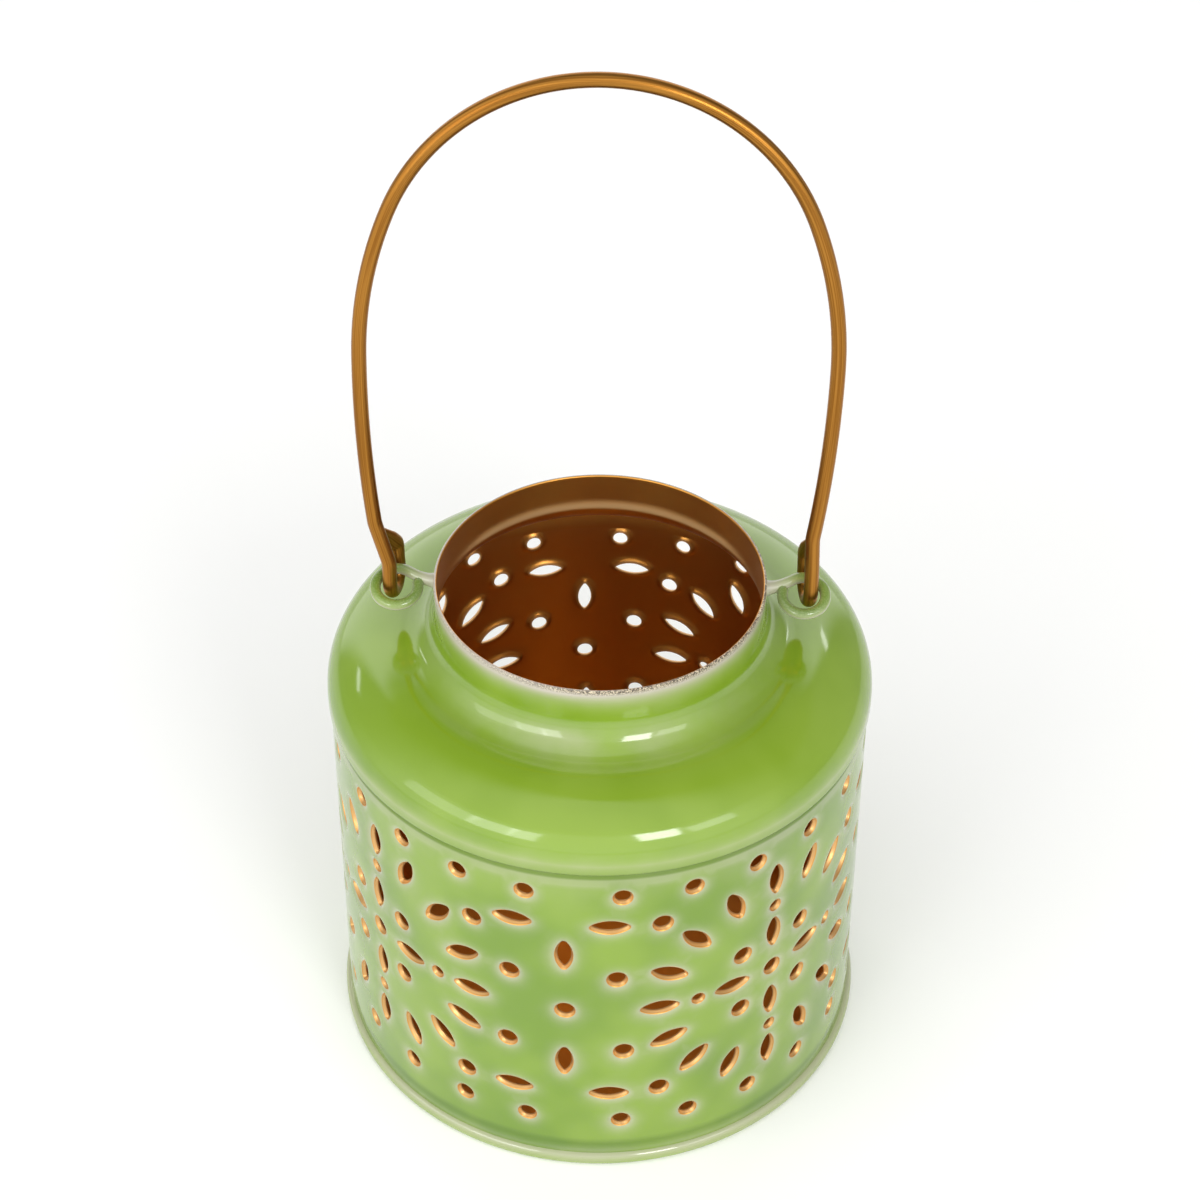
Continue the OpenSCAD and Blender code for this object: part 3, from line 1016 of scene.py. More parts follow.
    def marks(self, gap: np.ndarray, z: np.ndarray, in_throat: np.ndarray) -> Marks:
        """Values for the finishes: milk near holes and thin lines, pools, and painted shade in the foot's
        crease and under the shoulder's lip.

        Args:
            gap: each point's distance from the nearest hole.
            z: each point's height.
            in_throat: whether it lies in a hole's throat.

        Returns:
            The marks.
        """
        from_top = self.drum.top_z - z
        # The shade mark is painted shade under the shoulder's lip and in the foot's crease.
        shade_from, shade_ease, top_shade = self.top_shade
        haze = self.haze + self.top_haze * np.exp(-from_top / self.top_haze_reach)
        thin_lines = np.minimum(valley(from_top, *self.thin_top), valley(z, *self.thin_foot))
        return {
            Mark.EDGE: np.minimum(np.clip(gap, 0, self.full_mm), thin_lines),
            Mark.POOL: self.pool + bell(z, *self.foot_pool),
            Mark.HAZE: np.where(in_throat, self.throat_thin_paint_and_highlight, haze),
            Mark.SHADE: top_shade * part_of(shade_from - from_top, shade_ease) + bell(z, *self.foot_shade),
        }

    def build(self, finishes: Finishes) -> bpy.types.Object:
        """Meshes the unrolled wall, gives it depth and rolls it.

        A spot's depth is the dish or the burr at its distance from the nearest hole. The turn is the
        distance along the wall over the drum's radius. The wall's two ends are welded.

        Args:
            finishes: the shared materials.

        Returns:
            The wall.
        """
        drum, steps = self.drum, self.outline_steps
        length = 2 * math.pi * drum.outer_r
        holes = self.piercing.holes(drum)
        squeeze = np.minimum(1, self.ring_share * holes.gaps(steps) / self.outer_rings[0])
        sheet, triangles = self.fill(holes, squeeze * self.outer_rings[0], length)
        rings, ring_gap, ring_depth = self.rings(holes, squeeze)
        flat, (count, _, stations) = len(sheet), ring_gap.shape
        spots = sheet[: flat - count * steps]

        s, z = np.concatenate([sheet, sheet, rings.reshape(-1, 2)]).T
        sheet_gap = holes.nearest(sheet)
        gap = np.concatenate([sheet_gap, sheet_gap, ring_gap.ravel()])
        sunk = np.concatenate([self.dish(sheet_gap), self.burr(sheet_gap), ring_depth.ravel()])
        past_lap = np.maximum(s - self.lap_step, 0)
        lap = self.lap_t * part_of(s, self.lap_step) * np.exp(-past_lap / self.lap_fade)
        tuck = self.top_tuck * nearness(drum.top_z - z, self.top_tuck_h) ** 2
        tuck[flat : 2 * flat] = 0
        turn = self.piercing.seam_turn - 90 + np.degrees(s / drum.outer_r)
        points = np.concatenate([polar(drum.outer_r - sunk + lap - tuck, turn), z[:, None]], axis=1)

        grid = np.arange(ring_gap.size).reshape(ring_gap.shape) + 2 * flat
        start = np.arange(len(spots), flat).reshape(count, steps, 1)
        low = np.concatenate([start, grid, start + flat], axis=2)
        high = np.roll(low, -1, axis=1)
        quads = np.stack([low[..., :-1], high[..., :-1], high[..., 1:], low[..., 1:]], axis=-1)
        quads = quads.reshape(-1, 4)
        outer_count = len(self.outer_rings) - 2
        station_coat = np.where(np.arange(stations + 1) < outer_count, Coat.ENAMEL, Coat.PAINT)
        ring_coat = np.tile(station_coat, count * steps)
        inner_triangles = triangles[:, ::-1] + flat

        levels = (drum.foot_z, drum.top_z)
        foot, top = (row_of(np.abs(spots[:, 1] - level) < TINY, spots[:, 0]) for level in levels)
        strips = np.concatenate(
            [
                np.stack([foot[:-1], foot[:-1] + flat, foot[1:] + flat, foot[1:]], axis=-1),
                np.stack([top[1:], top[1:] + flat, top[:-1] + flat, top[:-1]], axis=-1),
            ]
        )
        strip_coat = np.full(len(strips), Coat.PAINT)
        weld = np.arange(len(points))
        first_column = row_of(spots[:, 0] < TINY, spots[:, 1])
        last_column = row_of(spots[:, 0] > length - TINY, spots[:, 1])
        for layer in (0, flat):
            weld[last_column + layer] = first_column + layer

        in_throat = np.zeros(len(points), bool)
        throat = slice(len(self.outer_rings) - 1, len(self.outer_rings) - 1 + len(self.throat))
        in_throat[2 * flat :].reshape(ring_gap.shape)[..., throat] = True
        surface = Surface(
            points,
            [weld[np.concatenate([quads, strips])], weld[np.concatenate([triangles, inner_triangles])]],
            [np.append(ring_coat, strip_coat), np.repeat([Coat.ENAMEL, Coat.PAINT], len(triangles))],
            self.marks(gap, z, in_throat),
        )
        wall = surface.piece("pierced_wall_sheet", finishes.enamel, finishes.paint)
        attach(wall, Body.LANTERN.value)
        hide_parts("pierced_wall")
        return wall


@dataclass
class BasePan:
    """The floor of the lantern inside its rolled foot bead; its thin line is as the wall's."""

    drum: Drum
    bead_out: float = 1.35
    bead_h: float = 3.8
    bead_flat_w: float = 1.4
    bead_steps: tuple = (10, 28)
    under_gap: float = 1.0
    under_count: int = 12
    pan_rise: float = 1.4
    seat_r: float = 0.9
    seat_steps: int = 8
    floor_count: int = 14
    steps: int = 360
    full_mm: float = 8.0
    thin_bead: tuple = (3.3, 0.6, 0.2)

    def build(self, finishes: Finishes) -> bpy.types.Object:
        """Turns the pan's outline: the underside, the bead's arc, the wall's channel and the floor.

        The bead's radius is its height squared plus a quarter of its flat's width squared, over twice its
        height.

        Args:
            finishes: the shared materials.

        Returns:
            The pan.
        """
        drum = self.drum
        bead_r = (self.bead_h**2 + self.bead_flat_w**2 / 4) / (2 * self.bead_h)
        centre = (drum.outer_r + self.bead_out - bead_r, self.bead_h - bead_r)
        foot_turn = math.degrees(math.asin(centre[1] / bead_r))
        rise_turn = math.degrees(math.asin((centre[1] - self.pan_rise) / bead_r))
        top_turn = math.degrees(math.acos((drum.outer_r - centre[0]) / bead_r))
        floor_z = self.pan_rise + drum.sheet_t
        seat_z = floor_z + self.seat_r
        outside = [
            run(np.linspace(0, centre[0] - bead_r - self.under_gap, self.under_count), self.pan_rise),
            arc(centre, bead_r, 180 + rise_turn, 180 + foot_turn, self.bead_steps[0]),
            arc(centre, bead_r, 360 - foot_turn, 360 + top_turn, self.bead_steps[1]),
        ]
        inside = [
            run([drum.outer_r, drum.inner_r, drum.inner_r], [drum.foot_z, drum.foot_z, seat_z]),
            arc((drum.inner_r - self.seat_r, seat_z), self.seat_r, 0, -90, self.seat_steps)[1:],
            run(np.linspace(drum.inner_r - 2 * self.seat_r, 0, self.floor_count), floor_z),
        ]
        outline = np.concatenate(outside + inside)
        coat = np.repeat([Coat.ENAMEL, Coat.PAINT], [sum(map(len, outside)), sum(map(len, inside))])
        radius, height = outline.T
        edge = np.where(radius > centre[0] - bead_r, valley(height, *self.thin_bead), self.full_mm)
        surface = Surface.lathe(outline, coat, {Mark.EDGE: edge}, self.steps)
        pan = surface.piece("base_pan_with_bead", finishes.enamel, finishes.paint)
        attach(pan, Body.LANTERN.value)
        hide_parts("base_pan")
        return pan


@dataclass
class DomedShoulder:
    """The spun cap with its neck: lip, swell, two-arc dome, hollow fillet, neck, worn rim and skirt.

    In the marks a band is its height over the crown, or over the wall where the name says so, its width and
    its strength, and a reach is how far out from the neck it goes.
    """

    drum: Drum
    rim_z: float
    shoulder_h: float = 16.7
    swell: float = 0.65
    swell_h: float = 3.0
    lip_r: float = 1.1
    lip_turn: float = -70.0
    lip_steps: int = 10
    neck_d: float = 78.9
    neck_fillet_r: float = 8.0
    neck_steps: int = 8
    rim_steps: int = 10
    bore_steps: int = 16
    skirt_h: float = 4.4
    skirt_gap: float = 0.1
    edge_arc_share: float = 0.766
    crown_arc_share: float = 1.9
    arc_steps: tuple = (26, 18, 24)
    seat_share: float = 0.45
    steps: int = 360
    lip_line: float = 2.5
    lip_slopes: tuple = (0.8, 1.6)
    lip_least: float = 0.3
    # Painted shade under the lip's edge, where it meets the wall.
    lip_shade: tuple = (1.7, 0.6, 0.35)
    rim_slope: float = 0.75
    rim_line: float = 1.3
    rim_least: float = -0.5
    neck_pool: tuple = (6.5, 4.0, 0.15)
    neck_pool_reach: float = 6.0
    wall_pool: tuple = (6.0, 2.5, 0.3)
    wall_pool_from: float = 10.0
    # Haze in the neck's fillet: a little all round, and most at the front, where it is painted reflection.
    fillet_haze_and_reflection: tuple = (2.5, 3.0, 0.2)
    fillet_haze_reach: float = 9.0
    fillet_haze_behind: float = 0.2
    # A band of painted highlight inside the neck, at the back.
    inner_highlight_band: tuple = (9.4, 5.2)
    inner_highlight_ease: tuple = (2.4, 0.9)
    inner_highlight_reach: float = 2.0
    inner_highlight_back_gain: float = 1.5
    worn_top: float = 1.9
    worn_reach: float = 0.6
    worn_turn: float = -0.6
    worn_least: float = 0.16
    worn_most: float = 0.95

    @classmethod
    def from_frame(cls, drum: Drum) -> "DomedShoulder":
        """Reads the rim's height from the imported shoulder."""
        return cls(drum=drum, rim_z=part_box("domed_shoulder")[1].z / MM)

    def skin(self, inset: float) -> np.ndarray:
        """Outline from the widest line up to the neck's top, drawn in by the inset.

        It is a tight arc at the edge, a wide arc over the crown and a hollow arc up into the neck, each
        meeting the next without a kink.

        Args:
            inset: distance inside the outer face.

        Returns:
            Rows of radius and height.
        """
        drum, hollow_r = self.drum, self.neck_fillet_r
        swell_z, crown_z = drum.top_z + self.swell_h, drum.top_z + self.shoulder_h
        rise = crown_z - swell_z
        edge_r, crown_r = self.edge_arc_share * rise, self.crown_arc_share * rise
        turn = math.degrees(math.asin((crown_r - rise) / (crown_r - edge_r)))
        edge_c = drum.outer_r + self.swell - edge_r
        crown_c = edge_c - (crown_r - edge_r) * cos_sin(turn)[0]
        hollow_c = self.neck_d / 2 + hollow_r
        end_turn = math.degrees(math.acos((hollow_c - crown_c) / crown_r))
        hollow_z = crown_z - crown_r + crown_r * cos_sin(end_turn)[1] + hollow_r
        edge_steps, crown_steps, hollow_steps = self.arc_steps
        return np.concatenate(
            [
                arc((edge_c, swell_z), edge_r - inset, 0, turn, edge_steps),
                arc((crown_c, crown_z - crown_r), crown_r - inset, turn, end_turn, crown_steps)[1:],
                arc((hollow_c, hollow_z), hollow_r + inset, 270, 180, hollow_steps)[1:],
            ]
        )

    def marks(self, outline: np.ndarray, rim: int, paint_from: int) -> Marks:
        """Values for the finishes, before they change round the shoulder.

        Args:
            outline: rows of radius and height.
            rim: the number of the outline's point where the rim starts.
            paint_from: the number of its first painted point.

        Returns:
            The marks.
        """
        place = along(outline)
        from_lip, from_rim = np.maximum(place - place[1], 0), np.abs(place[rim] - place)
        out, over_wall = outline[:, 0] - self.neck_d / 2, outline[:, 1] - self.drum.top_z
        over_crown = over_wall - self.shoulder_h
        lip_slope = np.where(from_lip > self.lip_line, *self.lip_slopes)
        lip_edge = valley(from_lip, self.lip_line, lip_slope, self.lip_least)
        rim_edge = self.rim_slope * np.maximum(from_rim - self.rim_line, 0) + self.rim_least
        neck_pool = bell(over_crown, *self.neck_pool) * (out < self.neck_pool_reach)
        wall_pool = bell(over_wall, *self.wall_pool) * (out > self.wall_pool_from)
        # Haze in the neck's fillet, made strongest at the front below as a painted reflection.
        hollow = bell(over_crown, *self.fillet_haze_and_reflection) * (out < self.fillet_haze_reach)
        # The painted highlight band inside the neck.
        (band_top, band_low), (top_ease, low_ease) = self.inner_highlight_band, self.inner_highlight_ease
        thin = part_of(band_top - over_crown, top_ease) * part_of(over_crown - band_low, low_ease)
        # Painted shade under the lip.
        shade_to, shade_ease, lip_shade = self.lip_shade
        painted = np.arange(len(outline)) >= paint_from
        return {
            Mark.EDGE: np.minimum(lip_edge, rim_edge),
            Mark.POOL: neck_pool + wall_pool,
            Mark.HAZE: np.where(painted, thin * (out < self.inner_highlight_reach), hollow),
            Mark.SHADE: lip_shade * part_of(shade_to - from_lip, shade_ease),
            Mark.GRAIN: np.clip(self.worn_top - from_rim / self.worn_reach, 0, 2),
        }

    def build(self, finishes: Finishes) -> bpy.types.Object:
        """Turns the shoulder's outline, and then lets wear and haze change round it.

        The wear falls as the sixth power of the cosine of half the turn from where it is worst. The haze
        outside, a painted reflection in the neck's fillet, falls as the fourth power of how far a point
        faces the front; inside, a band of painted highlight, it falls as the square of how far it lies to
        the back.

        Args:
            finishes: the shared materials.

        Returns:
            The shoulder.
        """
        drum, t, neck_r = self.drum, self.drum.sheet_t, self.neck_d / 2
        skirt_r, skirt_z = drum.inner_r - self.skirt_gap, drum.top_z - self.skirt_h
        lip_c = (drum.outer_r + self.swell - self.lip_r, drum.top_z + self.lip_r)
        lip = arc(lip_c, self.lip_r, self.lip_turn, 0, self.lip_steps)
        outer, inner = self.skin(0), self.skin(t)[::-1]
        rim_low = self.rim_z - t / 2
        neck = run(neck_r, np.linspace(outer[-1, 1], rim_low, self.neck_steps + 1)[1:])
        rim = arc((neck_r - t / 2, rim_low), t / 2, 0, 180, self.rim_steps)[1:]
        bore = run(neck_r - t, np.linspace(rim[-1, 1], inner[0, 1], self.bore_steps + 1)[1:-1])
        seat = run([drum.inner_r + self.seat_share * t], drum.top_z)
        skirt_ends = [drum.top_z, skirt_z, skirt_z, drum.top_z]
        skirt = run([skirt_r - t, skirt_r - t, skirt_r, skirt_r], skirt_ends)
        outline = np.concatenate([seat, lip, outer[1:], neck, rim, bore, inner, skirt])
        rim_from = len(lip) + len(outer) + len(neck)
        paint_from = rim_from + len(rim) // 2
        coat = np.repeat([Coat.ENAMEL, Coat.PAINT], [paint_from, len(outline) - paint_from])
        surface = Surface.lathe(outline, coat, self.marks(outline, rim_from, paint_from), self.steps)

        x, y = surface.points[:, 0], surface.points[:, 1]
        turn = np.arctan2(y, x)
        worn = self.worn_least + (1 - self.worn_least) * np.cos((turn - self.worn_turn) / 2) ** 6
        # Outside, the haze is a painted reflection strongest at the front; inside, the painted highlight
        # band lies at the back.
        front = self.fillet_haze_behind + (1 - self.fillet_haze_behind) * np.clip(-np.sin(turn), 0, 1) ** 4
        back = np.clip(self.inner_highlight_back_gain * np.sin(turn), 0, 1) ** 2
        surface.marks[Mark.GRAIN] = np.minimum(surface.marks[Mark.GRAIN] * worn, self.worn_most)
        surface.marks[Mark.HAZE] *= np.where(np.hypot(x, y) < neck_r - t / 2, back, front)
        shoulder = surface.piece("domed_shoulder_spun", finishes.enamel, finishes.paint)
        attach(shoulder, Body.LANTERN.value)
        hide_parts("domed_shoulder")
        return shoulder


@dataclass
class Ear:
    """One wire ear: a stub from the neck that runs on into a ring, tilted so that its front hangs."""

    side: Side
    rim_z: float
    neck_d: float = 78.9
    wire_d: float = 2.6
    eye_d: float = 7.6
    gap: float = 2.5
    drop: float = 4.0
    droop: float = 17.0
    stub_turn: float = 122.0
    closed_turn: float = 168.0
    ring_count: int = 150
    bend_l: float = 4.2
    bend_steps: int = 24
    root_depth: float = 0.4
    root_flare: float = 0.9
    root_reach: float = 1.8
    step: float = 0.25
    blur: float = 0.3
    milk_reach: float = 9.0
    flank_mm: float = -0.2
    crest_mm: float = 3.2
    crest_grain: float = 0.12
    crest_pool: float = 0.9

    @property
    def ring_r(self) -> float:
        """Radius of the ring's middle line."""
        return self.eye_d / 2 + self.wire_d / 2

    @property
    def centre_x(self) -> float:
        """Distance of the ring's centre from the lantern's axis."""
        return self.neck_d / 2 + self.gap + self.wire_d / 2 + self.ring_r

    def path(self) -> np.ndarray:
        """Middle line from inside the neck's sheet along the stub and round the ring.

        In the ring's own plane the stub leaves the neck squarely and bends, as a curve with one pull
        point, into the ring at its turn. The ring goes on clockwise until it runs into the stub. The plane
        then tilts about X by the droop.

        Returns:
            Rows of coordinates, for the ear on the right.
        """
        cos, sin = cos_sin(self.droop)
        middle, squash = np.array([self.centre_x, 0]), np.array([1, cos])
        meet = polar(self.ring_r, self.stub_turn)
        pull = meet - self.bend_l * polar(1.0, self.stub_turn - 90)
        level = pull * squash + middle
        root = level * (self.neck_d / 2 - self.root_depth) / np.linalg.norm(level)
        root = (root - middle) / squash
        t = np.linspace(0, 1, self.bend_steps, endpoint=False)[:, None]
        stub = (1 - t) ** 2 * root + 2 * t * (1 - t) * pull + t**2 * meet
        ring = polar(self.ring_r, np.linspace(self.stub_turn, self.closed_turn - 360, self.ring_count))
        flat = np.pad(np.concatenate([stub, ring]), ((0, 0), (0, 1)))
        x, y, _ = respace(flat, self.step, self.blur).T
        return np.stack([x + self.centre_x, y * cos, y * sin + self.rim_z - self.drop], axis=1)

    def build(self, finishes: Finishes) -> bpy.types.Object:
        """Sweeps the wire along its path.

        Near the neck the section swells as the exponential of the distance, like a fillet of solder and
        glass. The glass is thin on both flanks of the wire and full on its crest.

        Args:
            finishes: the shared materials.

        Returns:
            The ear.
        """
        path = self.path()
        cos, sin = cos_sin(self.droop)
        normal = np.array([0.0, -sin, cos])
        half = self.wire_d / 2 + self.root_flare * np.exp(-along(path) / self.root_reach)
        surface = WireForm(path, np.broadcast_to(normal, path.shape), half, half, flat_start=True).surface()
        points = surface.points
        nearest = np.argmin(np.linalg.norm(points[:, None, :] - path[None, :, :], axis=2), axis=1)
        upright = (points - path[nearest]) @ normal / half[nearest]
        full = np.clip(upright, 0, 1) * (1 - bell(along(path)[nearest], 0, self.milk_reach, 1))
        surface.marks = {
            Mark.EDGE: self.crest_mm * full + self.flank_mm,
            Mark.POOL: self.crest_pool * full,
            Mark.GRAIN: self.crest_grain * full,
        }
        surface.points = points * (self.side.value, 1, 1)
        if self.side is Side.LEFT:
            surface.faces = [block[:, ::-1] for block in surface.faces]
        surface.wire_uv = None
        name = f"ear_{self.side.name.lower()}"
        ear = surface.piece(f"{name}_wire", finishes.enamel)
        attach(ear, Body.LANTERN.value)
        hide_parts(name)
        return ear


@dataclass
class Bail:
    """The bail: one wire bent to an arch, with a hook through each ear and hammered tips."""

    ear: Ear
    wire_d: float = 3.5
    wide: float = 109.0
    high: float = 126.4
    foot_w: float = 102.8
    foot_h: float = 14.0
    slide: float = 1.9
    tilt: float = 1.0
    lean: float = 10.0
    hook_w: float = 4.6
    hook_gap: float = 0.45
    hook_slack: float = 1.2
    hook_out: float = 0.9
    hook_turn: float = 10.0
    hook_count: int = 60
    tip_h: float = 12.0
    tip_gap: float = 0.1
    tip_wide: float = 1.0
    tip_thick: float = 0.6
    blade_wide: float = 2.05
    blade_thick: float = 1.15
    blade_l: float = 8.5
    blade_shares: tuple = (0.0, 0.6, 1.0, 1.6)
    top_arc_share: float = 0.94
    wide_h_share: float = 0.46
    knee_share: float = 0.3
    bend_share: float = 0.42
    bend_pull_share: float = 0.12
    arc_steps: tuple = (90, 40, 50)
    sides: int = 40
    step: float = 0.5
    blur: float = 0.7

    def arch(self, side: Side, plane_y: float) -> np.ndarray:
        """Middle line of half of the arch, from its top down to one foot.

        Three arcs in one flat plane make the arch and its bowed leg. The plane then leans to the right
        by the tilt about the middle of the feet and slides to the left.

        Args:
            side: the side of the foot.
            plane_y: the plane's place in front of the hinge line.

        Returns:
            Rows of coordinates counted from the hinge line's middle.
        """
        half, wide_h = self.wide / 2, self.wide_h_share * self.high
        top_r = self.top_arc_share * half
        top_c = self.high - top_r
        drop = top_c - wide_h
        side_r = (half**2 + drop**2 - top_r**2) / (2 * (half - top_r))
        side_turn = math.degrees(math.atan2(drop, side_r - half))
        bow, leg_drop = (self.wide - self.foot_w) / 2, wide_h - self.foot_h
        leg_r = (leg_drop**2 + bow**2) / (2 * bow)
        leg_turn = math.degrees(math.asin(leg_drop / leg_r))
        top_steps, side_steps, leg_steps = self.arc_steps
        flat = np.concatenate(
            [
                arc((0, top_c), top_r, 90, side_turn, top_steps),
                arc((half - side_r, wide_h), side_r, side_turn, 0, side_steps)[1:],
                arc((half - leg_r, wide_h), leg_r, 0, -leg_turn, leg_steps)[1:],
            ]
        )
        x, z = side.value * flat[:, 0], flat[:, 1]
        cos, sin = cos_sin(self.tilt)
        return np.stack([x * cos + z * sin - self.slide, np.full(len(x), plane_y), z * cos - x * sin], 1)

    def half_path(self, side: Side) -> np.ndarray:
        """Middle line from the arch's top to one hook's tip, before the bail leans back.

        From the arch's foot the wire runs down to the hook, half round under the ear wire, and up behind
        it to the tip. The hook's half ring is turned a little towards the neck.

        Args:
            side: the side of the hook.

        Returns:
            Rows of coordinates counted from the hinge line's middle.
        """
        cos, sin = cos_sin(self.hook_turn)
        hook_r = (self.hook_w + self.wire_d) / 2
        back_y = self.ear.wire_d / 2 + self.wire_d / 2 + self.hook_gap
        mid_x, mid_y = self.ear.centre_x + self.hook_out, back_y - hook_r * cos
        plane_y = mid_y - hook_r * cos
        arch = self.arch(side, plane_y)
        reach, drop = polar(hook_r, np.linspace(180, 360, self.hook_count)).T
        hook_x, hook_y = side.value * (mid_x - reach * sin), mid_y + reach * cos
        hook = np.stack([hook_x, hook_y, drop - self.hook_slack], 1)
        knee = np.array([hook[0, 0], plane_y, self.knee_share * self.foot_h])
        tip_share = (self.tip_h - knee[2]) / (arch[-1, 2] - knee[2])
        tip_back = self.wire_d / 2 + self.tip_thick + self.tip_gap
        tip = knee + tip_share * (arch[-1] - knee) + np.array([0, tip_back, 0])
        bent_x = hook[-1, 0] + self.bend_pull_share * (tip[0] - hook[-1, 0])
        bent = np.array([bent_x, back_y, self.bend_share * self.tip_h])
        return np.concatenate([arch, knee[None], hook, bent[None], tip[None]])

    def build(self, finishes: Finishes) -> bpy.types.Object:
        """Sweeps the wire along the whole bail.

        The section is round along the arch. Over each hook's return it flattens to a broad blade and
        then narrows to the tip, with the width following straight ramps of the distance to the tip.

        Args:
            finishes: the shared materials.

        Returns:
            The bail.
        """
        ear = self.ear
        left, right = self.half_path(Side.LEFT), self.half_path(Side.RIGHT)
        path = respace(np.concatenate([left[::-1], right[1:]]), self.step, self.blur)
        length = along(path)
        to_tip = np.minimum(length, length[-1] - length)
        knots, round_r = np.array(self.blade_shares) * self.blade_l, self.wire_d / 2
        half_wide = np.interp(to_tip, knots, [self.tip_wide, self.blade_wide, self.blade_wide, round_r])
        half_thick = np.interp(to_tip, knots, [self.tip_thick, self.blade_thick, round_r, round_r])
        inward = -np.sign(length - length[-1] / 2)
        aside = np.stack([inward, 1 - nearness(to_tip, knots[-1]), np.zeros(len(path))], axis=1)
        cos, sin = cos_sin(-self.lean)
        turn = np.array([[1, 0, 0], [0, cos, -sin], [0, sin, cos]])
        cos, sin = cos_sin(ear.droop)
        hinge = np.array([0, ear.ring_r * cos, ear.rim_z - ear.drop + ear.ring_r * sin])
        wire = WireForm(path @ turn.T + hinge, aside @ turn.T, half_wide, half_thick, self.sides)
        bail = wire.surface().piece("bail_wire", finishes.wire)
        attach(bail, Body.BAIL.value)
        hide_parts("bail_handle")
        return bail


@dataclass(frozen=True)
class Softbox:
    """A rectangular soft light, placed by its direction from the lantern.

    Attributes:
        name: the light's name.
        turn: direction from the front towards the right, in degrees.
        rise: direction above the floor, in degrees.
        size: width and height, in metres.
        radiance: brightness of its face, where white paper in full light is one.
        distance: metres from the lantern.
        aim: the place that it faces, in metres.
    """

    name: str
    turn: float
    rise: float
    size: tuple[float, float]
    radiance: float
    distance: float = 1.4
    aim: tuple[float, float, float] = (0.0, 0.0, 0.11)

    def build(self) -> None:
        """Adds the light, turned to its aim; its power is its radiance times pi times its area."""
        (cos, sin), (level, up) = cos_sin(self.turn), cos_sin(self.rise)
        way = Vector((sin * level, -cos * level, up))
        data = bpy.data.lights.new(self.name, "AREA")
        data.shape = "RECTANGLE"
        data.size, data.size_y = self.size
        data.energy = self.radiance * math.pi * self.size[0] * self.size[1]
        light = bpy.data.objects.new(self.name, data)
        light.location = Vector(self.aim) + self.distance * way
        light.rotation_euler = (-way).to_track_quat("-Z", "Y").to_euler()
        bpy.context.scene.collection.objects.link(light)


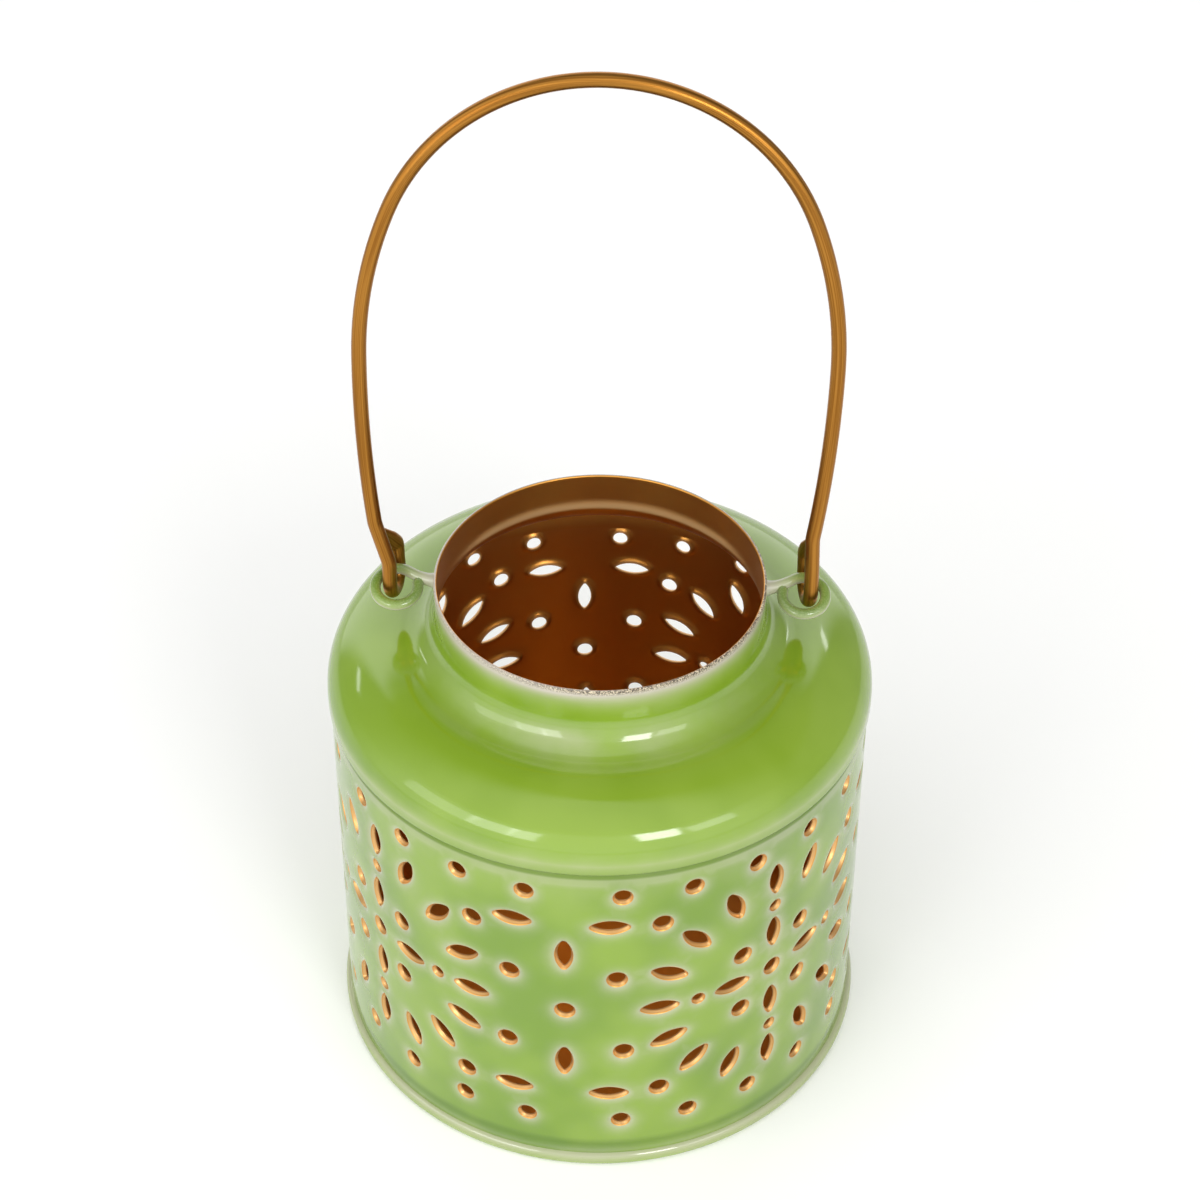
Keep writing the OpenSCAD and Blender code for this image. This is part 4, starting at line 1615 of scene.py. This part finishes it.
@dataclass
class Studio:
    """A plain pale floor, soft light and the camera at the photograph's angle. Lengths here are metres.

    Of the surroundings, a light is a part's brightness, a turn its middle from the front towards the right,
    and a reach the turns from that middle at which its share is nought and one.
    """

    camera_place: tuple[float, float, float] = (0.01638, -0.55188, 0.61217)
    camera_aim: tuple[float, float, float] = (0.0, 0.0, 0.12923)
    focal_px: float = 3083.1
    sensor_mm: float = 36.0
    camera_roll: float = 0.003
    clip: tuple[float, float] = (0.01, 50.0)
    floor_r: float = 6.0
    floor_sides: int = 96
    side_light: float = 0.45
    front_light: float = 1.45
    back_light: float = 1.75
    high_front: float = 1.06
    high_back: float = 0.24
    world_rise: tuple[float, float] = (39.0, 47.0)
    front_turn: float = -12.0
    front_reach: tuple[float, float] = (105.0, 60.0)
    back_turn: float = -173.0
    back_reach: tuple[float, float] = (41.0, 33.0)
    high_reach: tuple[float, float] = (125.0, 60.0)
    softboxes: tuple[Softbox, ...] = (
        Softbox("key_softbox", 25.0, 33.0, (0.34, 0.42), 10.0),
        Softbox("right_panel", 46.0, 30.0, (0.4, 0.35), 2.2),
        Softbox("left_panel_near", -27.0, 25.0, (0.25, 0.5), 3.4),
        Softbox("left_panel_middle", -40.0, 25.0, (0.4, 0.5), 2.7),
        Softbox("left_panel_far", -62.0, 25.0, (0.7, 0.5), 1.3),
        Softbox("back_left_lamp", -126.0, 25.0, (0.2, 0.06), 4.0),
        Softbox("back_right_lamp", 148.0, 31.0, (0.12, 0.06), 5.0),
    )

    def camera(self) -> None:
        """Adds the camera; its frame is taken as square, as wide as the photograph's."""
        data = bpy.data.cameras.new("camera")
        data.sensor_width = self.sensor_mm
        data.lens = self.focal_px / PHOTO_PIXELS * self.sensor_mm
        data.clip_start, data.clip_end = self.clip
        camera = bpy.data.objects.new("camera", data)
        look = (Vector(self.camera_aim) - Vector(self.camera_place)).to_track_quat("-Z", "Y")
        roll = Matrix.Rotation(self.camera_roll, 4, "Z")
        camera.matrix_world = Matrix.Translation(self.camera_place) @ look.to_matrix().to_4x4() @ roll
        bpy.context.scene.collection.objects.link(camera)
        bpy.context.scene.camera = camera

    def floor(self) -> None:
        """Adds the floor, a flat disc of paper."""
        rim = polar(self.floor_r, np.linspace(0, 360, self.floor_sides, endpoint=False))
        mesh = bpy.data.meshes.new("floor")
        mesh.from_pydata(np.pad(rim, ((0, 0), (0, 1))).tolist(), [], [list(range(self.floor_sides))])
        mesh.materials.append(MattPaper().material())
        floor = bpy.data.objects.new("floor", mesh)
        bpy.context.scene.collection.objects.link(floor)

    def world(self) -> None:
        """Lights the scene from all round.

        Low down there is a wide bright part in front and a white backdrop behind, with dark gaps between
        them. Overhead it is dim, and dimmer towards the back. A part's share rises with the cosine between
        the ray's level direction and the part's middle. The sine of a direction's rise is the incoming
        ray's height with its sign turned round.
        """
        world = bpy.data.worlds.new("studio")
        bpy.context.scene.world = world
        add = emptied(world)
        incoming = add("NewGeometry", {}, "Incoming")
        height = add("SeparateXYZ", {"Vector": incoming}, "Z")
        level = add("VectorMath", {"operation": "MULTIPLY", 0: incoming, 1: (1.0, 1.0, 0.0)}, "Vector")
        level = add("VectorMath", {"operation": "NORMALIZE", 0: level}, "Vector")
        parts = (
            (self.front_turn, self.front_reach), (self.back_turn, self.back_reach),
            (self.front_turn, self.high_reach),
        )
        shares = []
        for turn, reach in parts:
            cos, sin = cos_sin(turn)
            near = add("VectorMath", {"operation": "DOT_PRODUCT", 0: level, 1: (-sin, cos, 0.0)}, "Value")
            span = (cos_sin(angle)[0] for angle in reach)
            shares.append(add("MapRange", EASED | dict(zip(SPAN, span)) | {"Value": near}, "Result"))
        front, back, high_front = shares
        low_rise, high_rise = (cos_sin(rise)[1] for rise in self.world_rise)
        span = dict(zip(SPAN, (-high_rise, -low_rise)))
        is_low = add("MapRange", EASED | span | {"Value": height}, "Result")
        above = {0: high_front, 1: self.high_front - self.high_back, 2: self.high_back}
        above = add("Math", {"operation": "MULTIPLY_ADD"} | above, "Value")
        light = {0: front, 1: self.front_light - self.side_light, 2: self.side_light}
        light = add("Math", {"operation": "MULTIPLY_ADD"} | light, "Value")
        light = {0: back, 1: self.back_light - self.side_light, 2: light}
        light = add("Math", {"operation": "MULTIPLY_ADD"} | light, "Value")
        change = add("Math", {"operation": "SUBTRACT", 0: light, 1: above}, "Value")
        light = add("Math", {"operation": "MULTIPLY_ADD", 0: is_low, 1: change, 2: above}, "Value")
        sky = add("Background", {"Color": "#ffffff", "Strength": light}, "Background")
        add("OutputWorld", {"Surface": sky})

    def build(self) -> None:
        """Adds the floor, the surroundings, the lights and the camera."""
        self.floor()
        self.world()
        for softbox in self.softboxes:
            softbox.build()
        self.camera()
        bpy.context.scene.view_settings.view_transform = "Standard"


def main() -> None:
    """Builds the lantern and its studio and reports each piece."""
    logging.basicConfig(level=logging.INFO, format="%(name)s: %(message)s")
    drum = Drum.from_frame()
    finishes = Finishes(
        enamel=VitreousEnamel().material(),
        paint=GoldPaint().material(),
        wire=PaintedWire().material(),
    )
    shoulder = DomedShoulder.from_frame(drum)
    right, left = Ear(Side.RIGHT, shoulder.rim_z), Ear(Side.LEFT, shoulder.rim_z)
    for part in (PiercedWall(drum), BasePan(drum), shoulder, right, left, Bail(right)):
        piece = part.build(finishes)
        log.info("%s: %d points, %d faces", piece.name, len(piece.data.vertices), len(piece.data.polygons))
    Studio().build()


if __name__ == "__main__":
    main()
